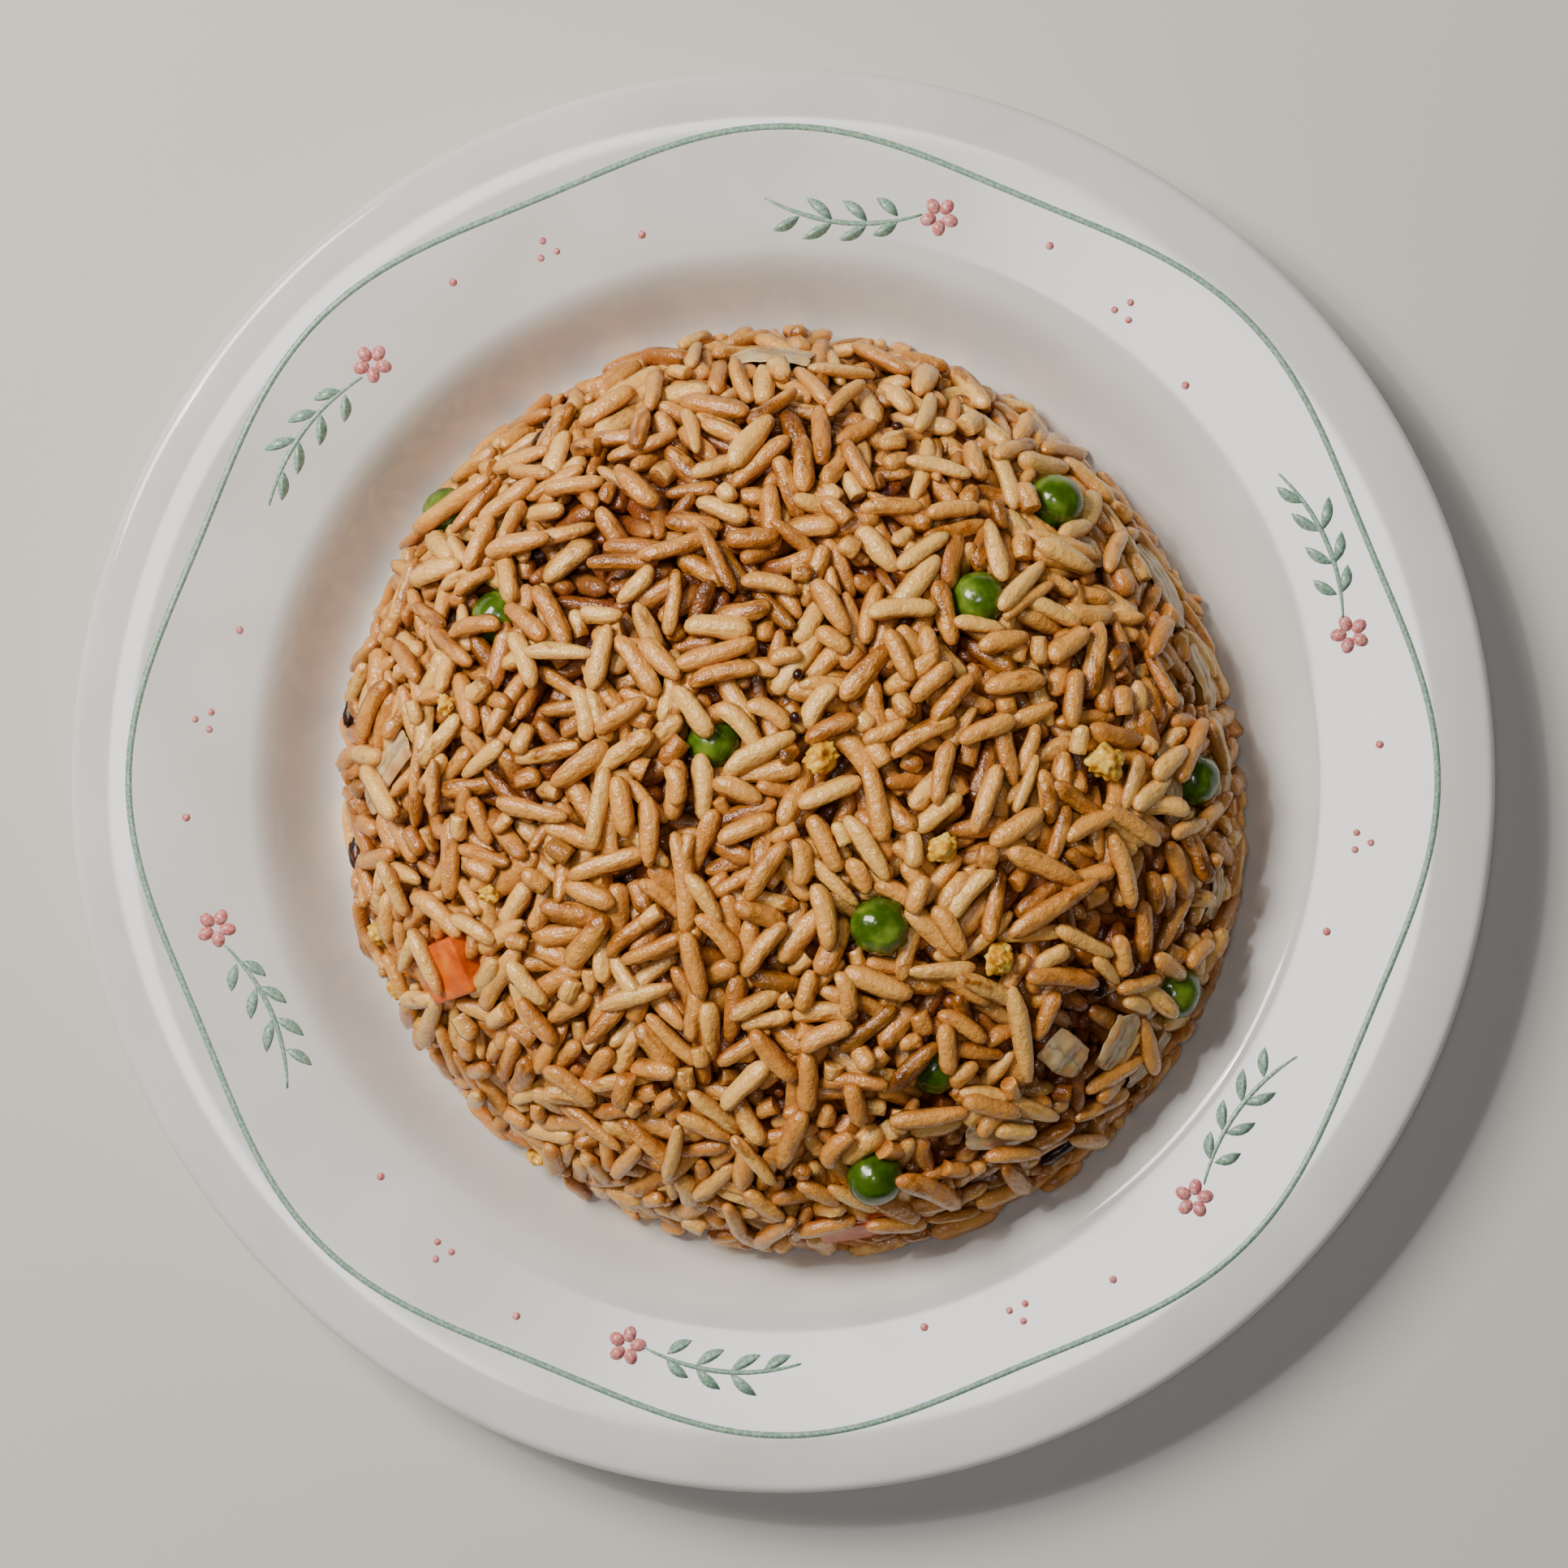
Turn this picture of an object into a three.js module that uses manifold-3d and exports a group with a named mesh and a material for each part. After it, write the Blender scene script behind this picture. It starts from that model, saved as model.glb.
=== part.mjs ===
// A plate of fried rice: a round white plate with an upturned-bowl mound of rice in its well, and the
// peas, carrot, onion slices and browned bits that show at the mound's surface.
// Millimetres, +Z up. The origin is the centre of the plate's foot, on the surface it stands on.

import * as THREE from 'three';
import { ConvexHull } from 'three/addons/math/ConvexHull.js';
import { mergeVertices } from 'three/addons/utils/BufferGeometryUtils.js';
import Module from 'manifold-3d';

const wasm = await Module();
wasm.setup();

// Plate sizes: an 8.5 inch lunch plate with a shallow well and a wide flange
const PLATE_RADIUS = 108;
const FLOOR_TOP = 4.6;
const WALL_INNER_RADIUS = 67.5;
const WALL_OUTER_RADIUS = 81.5;
const WALL_RISE = 11.6;
const FLANGE_SLOPE = 0.13;
const BAND_INNER_RADIUS = 98;
const BAND_DROP = 1.5;
const RIM_ROUNDING = 1.7;
const WARE_THICKNESS = 3.5;
const FOOT_INNER_RADIUS = 58;
const FOOT_OUTER_RADIUS = 63;
const FOOT_HEIGHT = FLOOR_TOP - WARE_THICKNESS;
const PLATE_SIDES = 60;

// Mound sizes: its plan is a circle drawn out towards one side, its section a blunt dome
const HEAP_CENTRE = new THREE.Vector2(1.5, -1.7);
const HEAP_RADIUS = 68.6;
const HEAP_STRETCH = 1.46;
const HEAP_STRETCH_ANGLE = -59;
const HEAP_CORNERING = 0.37;
const HEAP_CORNERING_ANGLE = -29;
const HEAP_TOP = 45.4;
const SHOULDER_POWER = 2.8;
const FLANK_POWER = 0.55;
const SECTION_STEPS = 400;
const GAP = 0.3;
const WELL_GAP = 0.45;

// Hollows where grains are missing and the mound's dark inside shows: place in plan, width, depth
const HOLLOWS = [
  { x: -27, y: 31, width: 3.2, depth: 2.6 },
  { x: -37, y: 26, width: 2.8, depth: 2.2 },
  { x: -17, y: 43, width: 2.6, depth: 1.6 },
  { x: -33, y: 9, width: 3.0, depth: 1.8 },
  { x: 27, y: 17, width: 3.0, depth: 1.6 },
  { x: 8, y: -18, width: 2.4, depth: 1.8 },
  { x: 45, y: -39, width: 4.0, depth: 2.4 },
  { x: -13, y: -28, width: 2.8, depth: 1.4 },
];

// Rice relief: each grain is a ridge of three high points with low points round it
const GRAIN_COUNT = 500;
const GRAIN_THIRD = 2.9;
const GRAIN_CREST = 1.15;
const GRAIN_CREST_SPREAD = 0.45;
const GRAIN_TIP_SHARE = 0.55;
const GRAIN_WIDTH = 2.7;
const FURROW_DEPTH = 1.3;
const FURROW_SPACING = 2.2;
const FURROW_CANDIDATES = 6400;
const UNDERSIDE_RINGS = [
  { share: 1, count: 124 },
  { share: 0.93, count: 60 },
  { share: 0.74, count: 30 },
  { share: 0.42, count: 14 },
];
const TOP_CLEARANCE = 0.975;

// Toppings, placed in plan on the mound; rise lifts one out of the surface, minus sinks it
const PEAS = [
  { x: -50.9, y: 40.4, diameter: 8.4, rise: 0.2 },
  { x: 40.0, y: 40.9, diameter: 8.8, rise: 1.0 },
  { x: 28.8, y: 26.8, diameter: 8.6, rise: -1.0 },
  { x: -43.6, y: 25.1, diameter: 8.2, rise: -2.8 },
  { x: -10.2, y: 5.5, diameter: 8.0, rise: -2.8 },
  { x: 13.9, y: -20.9, diameter: 9.2, rise: 1.0 },
  { x: 61.3, y: 0.2, diameter: 8.2, rise: 0.2 },
  { x: 58.6, y: -31.6, diameter: 8.4, rise: 0.4 },
  { x: 22.8, y: -43.4, diameter: 8.0, rise: -2.8 },
  { x: 13.4, y: -57.8, diameter: 8.8, rise: 1.4 },
];
const CARROTS = [
  { name: 'carrot_dice', x: -48.6, y: -27.4, rise: -1.0, heading: 24, length: 9.6, width: 9.0, thickness: 8.2 },
  { name: 'carrot_slice', x: 11.2, y: -66.6, rise: -0.6, heading: 16, length: 12.4, width: 6.6, thickness: 4.4 },
];
const ONIONS = [
  { from: [45.6, 45.7], to: [52.4, 39.4], width: 5.6, thickness: 1.5, rise: 0.2 },
  { from: [52.9, 36.4], to: [60.9, 22.6], width: 7.0, thickness: 1.7, rise: 0.3 },
  { from: [43.2, 36.0], to: [47.8, 31.6], width: 4.2, thickness: 1.3, rise: 0.1 },
  { from: [55.9, 5.7], to: [58.2, -6.4], width: 3.6, thickness: 1.4, rise: 0.4 },
  { from: [60.6, 20.2], to: [65.2, 10.2], width: 5.2, thickness: 1.9, rise: 0.3 },
  { from: [65.9, 6.6], to: [66.8, -4.4], width: 3.8, thickness: 1.6, rise: 0.2 },
  { from: [65.4, -12.6], to: [64.4, -21.4], width: 4.2, thickness: 1.4, rise: 0.2 },
  { from: [51.2, -33.6], to: [47.4, -43.2], width: 5.4, thickness: 1.6, rise: 0.3 },
  { from: [58.6, -37.6], to: [51.6, -46.2], width: 5.8, thickness: 1.4, rise: 0.2 },
  { from: [37.6, -38.4], to: [43.8, -43.2], width: 5.6, thickness: 2.2, rise: 0.4 },
  { from: [25.8, -52.6], to: [37.0, -52.0], width: 6.2, thickness: 2.4, rise: 0.5 },
  { from: [-62.4, -4.6], to: [-55.4, 6.2], width: 5.0, thickness: 1.8, rise: 0.3 },
  { from: [-9.0, 63.8], to: [5.2, 63.2], width: 5.0, thickness: 1.6, rise: 0.3 },
];
const ONION_BOW_SHARE = 0.06;
const BROWNED_BITS = [
  { x: 42.2, y: -55.4, rise: 0.2, heading: 28, length: 10.4, width: 3.6, thickness: 2.2 },
  { x: -65.0, y: -11.2, rise: 0.2, heading: 100, length: 7.0, width: 4.4, thickness: 3.0 },
  { x: -35.8, y: 51.6, rise: 0.2, heading: 14, length: 6.2, width: 3.0, thickness: 2.4 },
];

// Scraps too small to be pieces of their own: they are joined to the rice that they lie on
const BROWNED_FLECKS = [
  { x: 46.0, y: -30.6, heading: 10, length: 4.4, width: 3.4, thickness: 3.0 },
  { x: -65.6, y: 10.2, heading: 92, length: 6.0, width: 2.8, thickness: 2.4 },
];
const EGG_CRUMBS = [
  { x: 46.7, y: 2.6, size: 5.6 },
  { x: 22.9, y: -9.7, size: 4.6 },
  { x: 31.1, y: -25.7, size: 4.8 },
  { x: -49.0, y: 11.0, size: 3.2 },
  { x: -42.5, y: -16.4, size: 3.2 },
  { x: 5.5, y: 3.3, size: 5.0 },
  { x: -60.4, y: -22.8, size: 3.8 },
  { x: -58.4, y: -31.4, size: 3.0 },
  { x: -53.8, y: -36.6, size: 3.2 },
  { x: -37.2, y: -56.6, size: 3.2 },
];
const SEEDS = [
  { x: 16.6, y: 51.2, size: 2.0 },
  { x: 2.1, y: 15.2, size: 2.0 },
  { x: 1.8, y: 9.1, size: 2.0 },
];
const CRUMB_RISE_SHARE = 0.12;
const CRUMB_THICKNESS_SHARE = 0.82;
const CRUMB_TURN = 40;
const ROUGHNESS_OF_BITS = 0.1;

const MATERIALS = {
  plate: new THREE.MeshStandardMaterial({ color: 0xefeeea, roughness: 0.18, metalness: 0 }),
  rice: new THREE.MeshStandardMaterial({ color: 0xd3ac7c, roughness: 0.5, metalness: 0 }),
  pea: new THREE.MeshStandardMaterial({ color: 0x4f9a1c, roughness: 0.3, metalness: 0 }),
  carrot: new THREE.MeshStandardMaterial({ color: 0xe0702a, roughness: 0.45, metalness: 0 }),
  onion: new THREE.MeshStandardMaterial({ color: 0xcfb48f, roughness: 0.4, metalness: 0 }),
  browned: new THREE.MeshStandardMaterial({ color: 0x3f2416, roughness: 0.35, metalness: 0 }),
};

// Repeatable random numbers from 0 to 1
function seededRandom(seed) {
  let state = seed;
  return () => {
    state = (state + 0x6d2b79f5) | 0;
    let t = Math.imul(state ^ (state >>> 15), 1 | state);
    t = (t + Math.imul(t ^ (t >>> 7), 61 | t)) ^ t;
    return ((t ^ (t >>> 14)) >>> 0) / 4294967296;
  };
}

function smoothStep(share) {
  const t = THREE.MathUtils.clamp(share, 0, 1);
  return t * t * (3 - 2 * t);
}

// Plate section

function smoothPlateTop(radius) {
  const wall = smoothStep((radius - WALL_INNER_RADIUS) / (WALL_OUTER_RADIUS - WALL_INNER_RADIUS));
  const flange = WALL_RISE + FLANGE_SLOPE * (radius - WALL_OUTER_RADIUS);
  const band = Math.max(0, (radius - BAND_INNER_RADIUS) / (PLATE_RADIUS - BAND_INNER_RADIUS));
  return FLOOR_TOP + wall * flange - BAND_DROP * band * band;
}

function stations(from, to, steps) {
  return Array.from({ length: steps + 1 }, (_, i) => from + ((to - from) * i) / steps);
}

const TOP_STATIONS = [
  0,
  ...stations(WALL_INNER_RADIUS, WALL_OUTER_RADIUS, 6),
  ...stations(BAND_INNER_RADIUS, PLATE_RADIUS - RIM_ROUNDING, 2),
];
const TOP_OUTLINE = TOP_STATIONS.map((r) => new THREE.Vector2(r, smoothPlateTop(r)));

// Height of the plate's faceted upper face at a radius
function plateHeight(radius) {
  const next = TOP_OUTLINE.findIndex((p) => p.x >= radius);
  if (next <= 0) return TOP_OUTLINE[0].y;
  const a = TOP_OUTLINE[next - 1];
  const b = TOP_OUTLINE[next];
  return THREE.MathUtils.lerp(a.y, b.y, (radius - a.x) / (b.x - a.x));
}

// The point one ware thickness under the upper face, square to it
function undersidePoint(radius) {
  const step = 0.01;
  const slope = (smoothPlateTop(radius + step) - smoothPlateTop(radius - step)) / (2 * step);
  const normal = new THREE.Vector2(-slope, 1).normalize();
  return new THREE.Vector2(radius, smoothPlateTop(radius)).addScaledVector(normal, -WARE_THICKNESS);
}

function rimPoints() {
  const lip = TOP_OUTLINE[TOP_OUTLINE.length - 1];
  const centre = new THREE.Vector2(lip.x, lip.y - RIM_ROUNDING);
  return [60, 15, -30, -75].map((degrees) => {
    const angle = THREE.MathUtils.degToRad(degrees);
    return new THREE.Vector2(Math.cos(angle), Math.sin(angle)).multiplyScalar(RIM_ROUNDING).add(centre);
  });
}

function platePoints() {
  const under = stations(WALL_OUTER_RADIUS + 1, WALL_INNER_RADIUS, 4).map(undersidePoint);
  const foot = [
    new THREE.Vector2(FOOT_OUTER_RADIUS + 0.8, FOOT_HEIGHT),
    new THREE.Vector2(FOOT_OUTER_RADIUS, 0),
    new THREE.Vector2(FOOT_INNER_RADIUS, 0),
    new THREE.Vector2(FOOT_INNER_RADIUS - 0.8, FOOT_HEIGHT),
    new THREE.Vector2(0, FOOT_HEIGHT),
  ];
  const outline = [...TOP_OUTLINE, ...rimPoints(), ...under, ...foot];
  return outline.reverse();
}

function makePlate() {
  return new THREE.LatheGeometry(platePoints(), PLATE_SIDES).rotateX(Math.PI / 2);
}

// Mound section: a quarter turn from the top to the foot, with the conformal scale of each row.
// On the conformal plane a small shape keeps its angles, so grains can be laid out flat there.

function sectionRows() {
  const rows = [];
  let stretch = 0;
  for (let i = 1; i <= SECTION_STEPS; i += 1) {
    const turn = ((i / SECTION_STEPS) * Math.PI) / 2;
    const radius = HEAP_RADIUS * Math.sin(turn) ** (2 / SHOULDER_POWER);
    const share = Math.max(0, Math.cos(turn)) ** (2 * FLANK_POWER);
    const last = rows[rows.length - 1] ?? { radius, share, stretch: 0 };
    const run = radius - last.radius;
    const fall = (last.share - share) * (HEAP_TOP - FLOOR_TOP);
    const length = Math.hypot(run, fall);
    stretch += length / ((radius + last.radius) / 2);
    const out = length > 0 ? fall / length : 0;
    rows.push({ radius, share, stretch, out, up: Math.sqrt(1 - out * out) });
  }
  for (const row of rows) row.scale = Math.exp(row.stretch - stretch);
  return rows;
}

const SECTION = sectionRows();

function sectionAt(key, value) {
  const first = SECTION[0];
  if (value <= first[key]) return { ...first, radius: (first.radius * value) / first[key] };
  let low = 0;
  let high = SECTION.length - 1;
  while (high - low > 1) {
    const middle = (low + high) >> 1;
    if (SECTION[middle][key] < value) low = middle;
    else high = middle;
  }
  const a = SECTION[low];
  const b = SECTION[high];
  const t = THREE.MathUtils.clamp((value - a[key]) / (b[key] - a[key]), 0, 1);
  const row = {};
  for (const name of ['radius', 'share', 'scale', 'out', 'up']) row[name] = THREE.MathUtils.lerp(a[name], b[name], t);
  return row;
}

// The mound's radius towards an angle in plan
function heapRadius(angle) {
  const stretch = Math.cos(2 * (angle - THREE.MathUtils.degToRad(HEAP_STRETCH_ANGLE)));
  const corner = Math.cos(3 * (angle - THREE.MathUtils.degToRad(HEAP_CORNERING_ANGLE)));
  return HEAP_RADIUS + HEAP_STRETCH * stretch + HEAP_CORNERING * corner;
}

// The mound's underside follows the well, just clear of it
function wellHeight(x, y) {
  return plateHeight(Math.hypot(x, y)) + WELL_GAP;
}

function hollowDepth(x, y) {
  let depth = 0;
  for (const hollow of HOLLOWS) {
    const spread = ((x - hollow.x) ** 2 + (y - hollow.y) ** 2) / (2 * hollow.width ** 2);
    depth += hollow.depth * Math.exp(-spread);
  }
  return depth;
}

// A point of the mound's surface from its place on the conformal plane, lifted square to the surface
function heapPoint(u, v, lift = 0) {
  const angle = Math.atan2(v, u);
  const across = new THREE.Vector2(Math.cos(angle), Math.sin(angle));
  const foot = across.clone().multiplyScalar(heapRadius(angle)).add(HEAP_CENTRE);
  const scale = Math.hypot(u, v);
  if (scale >= 1) {
    const under = across.clone().multiplyScalar(heapRadius(angle) / scale).add(HEAP_CENTRE);
    return new THREE.Vector3(under.x, under.y, wellHeight(under.x, under.y));
  }
  const row = sectionAt('scale', scale);
  const outward = row.radius / HEAP_RADIUS;
  const radius = row.radius * (1 + (heapRadius(angle) / HEAP_RADIUS - 1) * outward);
  const footHeight = wellHeight(foot.x, foot.y);
  const plan = across.clone().multiplyScalar(radius).add(HEAP_CENTRE);
  const offset = lift - hollowDepth(plan.x, plan.y);
  plan.addScaledVector(across, row.out * offset);
  const height = THREE.MathUtils.lerp(footHeight, HEAP_TOP, row.share) + row.up * offset;
  return new THREE.Vector3(plan.x, plan.y, Math.max(height, wellHeight(plan.x, plan.y)));
}

// The surface's place and outward direction above a point in plan
function heapSeat(x, y) {
  const plan = new THREE.Vector2(x, y).sub(HEAP_CENTRE);
  const angle = plan.angle();
  const across = new THREE.Vector2(Math.cos(angle), Math.sin(angle));
  const radius = Math.min((plan.length() / heapRadius(angle)) * HEAP_RADIUS, HEAP_RADIUS * 0.99);
  const row = sectionAt('radius', radius);
  const foot = across.clone().multiplyScalar(heapRadius(angle)).add(HEAP_CENTRE);
  const height = THREE.MathUtils.lerp(wellHeight(foot.x, foot.y), HEAP_TOP, row.share);
  const outward = new THREE.Vector3(across.x * row.out, across.y * row.out, row.up).normalize();
  return { place: new THREE.Vector3(x, y, height), outward };
}

// Even places on the dome: a sunflower spiral of equal areas, on the conformal plane
function spiralPlaces(count) {
  const areas = [0];
  for (let i = 1; i < SECTION.length; i += 1) {
    const a = SECTION[i - 1];
    const b = SECTION[i];
    const length = (b.stretch - a.stretch) * ((a.radius + b.radius) / 2);
    areas.push(areas[i - 1] + length * (a.radius + b.radius));
  }
  const total = areas[areas.length - 1];
  const golden = Math.PI * (3 - Math.sqrt(5));
  const places = [];
  let row = 0;
  for (let i = 0; i < count; i += 1) {
    const wanted = ((i + 0.5) / count) * total;
    while (row < areas.length - 2 && areas[row + 1] < wanted) row += 1;
    const t = (wanted - areas[row]) / (areas[row + 1] - areas[row]);
    const scale = THREE.MathUtils.lerp(SECTION[row].scale, SECTION[row + 1].scale, THREE.MathUtils.clamp(t, 0, 1));
    places.push(new THREE.Vector2(Math.cos(i * golden), Math.sin(i * golden)).multiplyScalar(scale));
  }
  return places;
}

// Points kept apart on the surface: each holds its place on the conformal plane and its lift
class ReliefPoints {
  constructor() {
    this.points = [];
    this.cells = new Map();
    this.cellSize = 4;
  }

  key(place, dx = 0, dy = 0, dz = 0) {
    const cell = [place.x, place.y, place.z].map((c) => Math.floor(c / this.cellSize));
    return `${cell[0] + dx},${cell[1] + dy},${cell[2] + dz}`;
  }

  isClear(place, distance) {
    for (let dx = -1; dx <= 1; dx += 1) {
      for (let dy = -1; dy <= 1; dy += 1) {
        for (let dz = -1; dz <= 1; dz += 1) {
          const near = this.cells.get(this.key(place, dx, dy, dz)) ?? [];
          if (near.some((other) => other.distanceTo(place) < distance)) return false;
        }
      }
    }
    return true;
  }

  add(u, v, lift) {
    const place = heapPoint(u, v);
    const key = this.key(place);
    if (!this.cells.has(key)) this.cells.set(key, []);
    this.cells.get(key).push(place);
    this.points.push({ u, v, lift });
  }
}

function addUnderside(relief) {
  for (const ring of UNDERSIDE_RINGS) {
    for (let i = 0; i < ring.count; i += 1) {
      const angle = (i / ring.count) * Math.PI * 2;
      relief.add(Math.cos(angle) / ring.share, Math.sin(angle) / ring.share, 0);
    }
  }
}

function addGrains(relief, random) {
  for (const centre of spiralPlaces(GRAIN_COUNT)) {
    const crest = GRAIN_CREST + (random() * 2 - 1) * GRAIN_CREST_SPREAD;
    const heading = random() * Math.PI;
    const scale = centre.length();
    const step = (GRAIN_THIRD * scale) / sectionAt('scale', scale).radius;
    const along = new THREE.Vector2(Math.cos(heading), Math.sin(heading)).multiplyScalar(step);
    for (const share of [0, -1, 1]) {
      const spot = centre.clone().addScaledVector(along, share);
      if (spot.length() > TOP_CLEARANCE) continue;
      if (!relief.isClear(heapPoint(spot.x, spot.y), GRAIN_WIDTH)) continue;
      relief.add(spot.x, spot.y, share === 0 ? crest : crest * GRAIN_TIP_SHARE);
    }
  }
}

function addFurrows(relief, random) {
  for (const spot of spiralPlaces(FURROW_CANDIDATES)) {
    if (spot.length() > TOP_CLEARANCE) continue;
    if (!relief.isClear(heapPoint(spot.x, spot.y), FURROW_SPACING)) continue;
    relief.add(spot.x, spot.y, -FURROW_DEPTH * (0.6 + 0.8 * random()));
  }
}

// The relief's points, joined up as the hull of their places on a sphere
function makeHeapSurface() {
  const random = seededRandom(11);
  const relief = new ReliefPoints();
  addUnderside(relief);
  addGrains(relief, random);
  addFurrows(relief, random);
  const middle = new THREE.Vector3(HEAP_CENTRE.x, HEAP_CENTRE.y, wellHeight(HEAP_CENTRE.x, HEAP_CENTRE.y));
  const corners = [middle, ...relief.points.map((p) => heapPoint(p.u, p.v, p.lift))];
  const directions = [new THREE.Vector3(0, 0, -1)];
  for (const { u, v } of relief.points) {
    const spread = u * u + v * v;
    directions.push(new THREE.Vector3(2 * u, 2 * v, 1 - spread).divideScalar(1 + spread));
  }
  const order = new Map(directions.map((direction, i) => [direction, i]));
  const indices = [];
  for (const face of new ConvexHull().setFromPoints(directions).faces) {
    let edge = face.edge;
    do {
      indices.push(order.get(edge.head().point));
      edge = edge.next;
    } while (edge !== face.edge);
  }
  const geometry = new THREE.BufferGeometry().setFromPoints(corners);
  geometry.setIndex(indices);
  return geometry;
}

// Toppings, each about its own origin: length along X, thickness along Y, width along Z

function makePea(size, grow) {
  const shape = new THREE.IcosahedronGeometry(size.diameter / 2 + grow, 1);
  shape.scale(1, 0.94, 0.97);
  return shape;
}

function makeDice(size, grow) {
  const bevel = 0.5;
  const length = size.length - 2 * bevel + 2 * grow;
  const thickness = size.thickness - 2 * bevel + 2 * grow;
  const width = size.width - 2 * bevel + 2 * grow;
  const outline = new THREE.Shape([
    new THREE.Vector2(-length / 2, -thickness / 2),
    new THREE.Vector2(length / 2, -thickness / 2),
    new THREE.Vector2(length / 2, thickness / 2),
    new THREE.Vector2(-length / 2, thickness / 2),
  ]);
  const options = { depth: width, bevelSize: bevel, bevelThickness: bevel, bevelSegments: 1 };
  const shape = new THREE.ExtrudeGeometry(outline, options);
  shape.translate(0, 0, -width / 2);
  return shape;
}

// A slice bowed along its length, as a piece cut from an onion's layer
function makeSlice(size, grow) {
  const steps = 5;
  const half = size.length / 2 + grow;
  const side = size.thickness / 2 + grow;
  const bow = (x) => -ONION_BOW_SHARE * size.length * (x / half) ** 2;
  const upper = stations(-half, half, steps).map((x) => new THREE.Vector2(x, bow(x) + side));
  const lower = stations(half, -half, steps).map((x) => new THREE.Vector2(x, bow(x) - side));
  const width = size.width + 2 * grow;
  const shape = new THREE.ExtrudeGeometry(new THREE.Shape([...upper, ...lower]), {
    depth: width,
    bevelEnabled: false,
  });
  shape.translate(0, 0, -width / 2);
  return shape;
}

function makeBit(size, grow, seed = 5, detail = 1) {
  const random = seededRandom(seed);
  const shape = withoutSeams(new THREE.IcosahedronGeometry(1, detail));
  const corners = shape.getAttribute('position');
  for (let i = 0; i < corners.count; i += 1) {
    const uneven = 1 + (random() * 2 - 1) * ROUGHNESS_OF_BITS;
    corners.setXYZ(i, corners.getX(i) * uneven, corners.getY(i) * uneven, corners.getZ(i) * uneven);
  }
  shape.scale(size.length / 2 + grow, size.thickness / 2 + grow, size.width / 2 + grow);
  return shape;
}

// Places a topping on the mound: its thickness points outwards, its length runs towards `along`
function seatShape(shape, seat, along, rise) {
  const outward = seat.outward;
  const length = along.clone().addScaledVector(outward, -along.dot(outward)).normalize();
  const width = new THREE.Vector3().crossVectors(length, outward);
  const turn = new THREE.Matrix4().makeBasis(length, outward, width);
  turn.setPosition(seat.place.clone().addScaledVector(outward, rise));
  return shape.applyMatrix4(turn);
}

function seatByHeading(shape, size) {
  const heading = THREE.MathUtils.degToRad(size.heading ?? 0);
  const along = new THREE.Vector3(Math.cos(heading), Math.sin(heading), 0);
  return seatShape(shape, heapSeat(size.x, size.y), along, size.rise);
}

function seatBetweenEnds(shape, size) {
  const start = heapSeat(...size.from);
  const end = heapSeat(...size.to);
  const along = end.place.clone().sub(start.place);
  const middle = heapSeat((size.from[0] + size.to[0]) / 2, (size.from[1] + size.to[1]) / 2);
  return seatShape(shape, middle, along, size.rise);
}

function sliceLength(size) {
  return heapSeat(...size.to).place.distanceTo(heapSeat(...size.from).place);
}

// Solids

function withoutSeams(geometry) {
  geometry.deleteAttribute('normal');
  geometry.deleteAttribute('uv');
  return mergeVertices(geometry, 1e-4);
}

function toSolid(geometry) {
  const closed = withoutSeams(geometry);
  const mesh = new wasm.Mesh({
    numProp: 3,
    vertProperties: new Float32Array(closed.getAttribute('position').array),
    triVerts: new Uint32Array(closed.getIndex().array),
  });
  return new wasm.Manifold(mesh);
}

function toGeometry(solid) {
  const mesh = solid.getMesh();
  const geometry = new THREE.BufferGeometry();
  geometry.setAttribute('position', new THREE.BufferAttribute(mesh.vertProperties, 3));
  geometry.setIndex(new THREE.BufferAttribute(mesh.triVerts, 1));
  geometry.computeVertexNormals();
  return geometry;
}

function largestPiece(solid) {
  const pieces = solid.decompose();
  return pieces.reduce((best, piece) => (piece.volume() > best.volume() ? piece : best));
}

function numbered(name, index) {
  return `${name}_${String(index + 1).padStart(2, '0')}`;
}

// Every separate topping: its name, material, and a function that makes it, grown by a clearance
function listToppings() {
  const toppings = [];
  PEAS.forEach((size, i) => {
    const make = (grow) => seatByHeading(makePea(size, grow), size);
    toppings.push({ name: numbered('pea', i), material: MATERIALS.pea, make });
  });
  for (const size of CARROTS) {
    const make = (grow) => seatByHeading(makeDice(size, grow), size);
    toppings.push({ name: size.name, material: MATERIALS.carrot, make });
  }
  ONIONS.forEach((ends, i) => {
    const size = { ...ends, length: sliceLength(ends) };
    const make = (grow) => seatBetweenEnds(makeSlice(size, grow), size);
    toppings.push({ name: numbered('onion_slice', i), material: MATERIALS.onion, make });
  });
  BROWNED_BITS.forEach((size, i) => {
    const make = (grow) => seatByHeading(makeBit(size, grow, 30 + i), size);
    toppings.push({ name: numbered('browned_bit', i), material: MATERIALS.browned, make });
  });
  return toppings;
}

function crumbSize(crumb, index) {
  const thickness = crumb.size * CRUMB_THICKNESS_SHARE;
  return { ...crumb, length: crumb.size, thickness, width: thickness, heading: index * CRUMB_TURN };
}

function fuseScraps(heap) {
  const scraps = [...[...EGG_CRUMBS, ...SEEDS].map(crumbSize), ...BROWNED_FLECKS];
  let solid = heap;
  scraps.forEach((size, i) => {
    const rise = size.length * CRUMB_RISE_SHARE;
    const shape = seatByHeading(makeBit(size, 0, 60 + i, 0), { ...size, rise });
    solid = solid.add(toSolid(shape));
  });
  return solid;
}

function makeRiceHeap(toppings) {
  let solid = fuseScraps(toSolid(makeHeapSurface()));
  for (const topping of toppings) solid = solid.subtract(toSolid(topping.make(GAP)));
  return toGeometry(largestPiece(solid));
}

function addMesh(group, name, geometry, material) {
  const mesh = new THREE.Mesh(geometry, material.clone());
  mesh.name = name;
  group.add(mesh);
}

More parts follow.
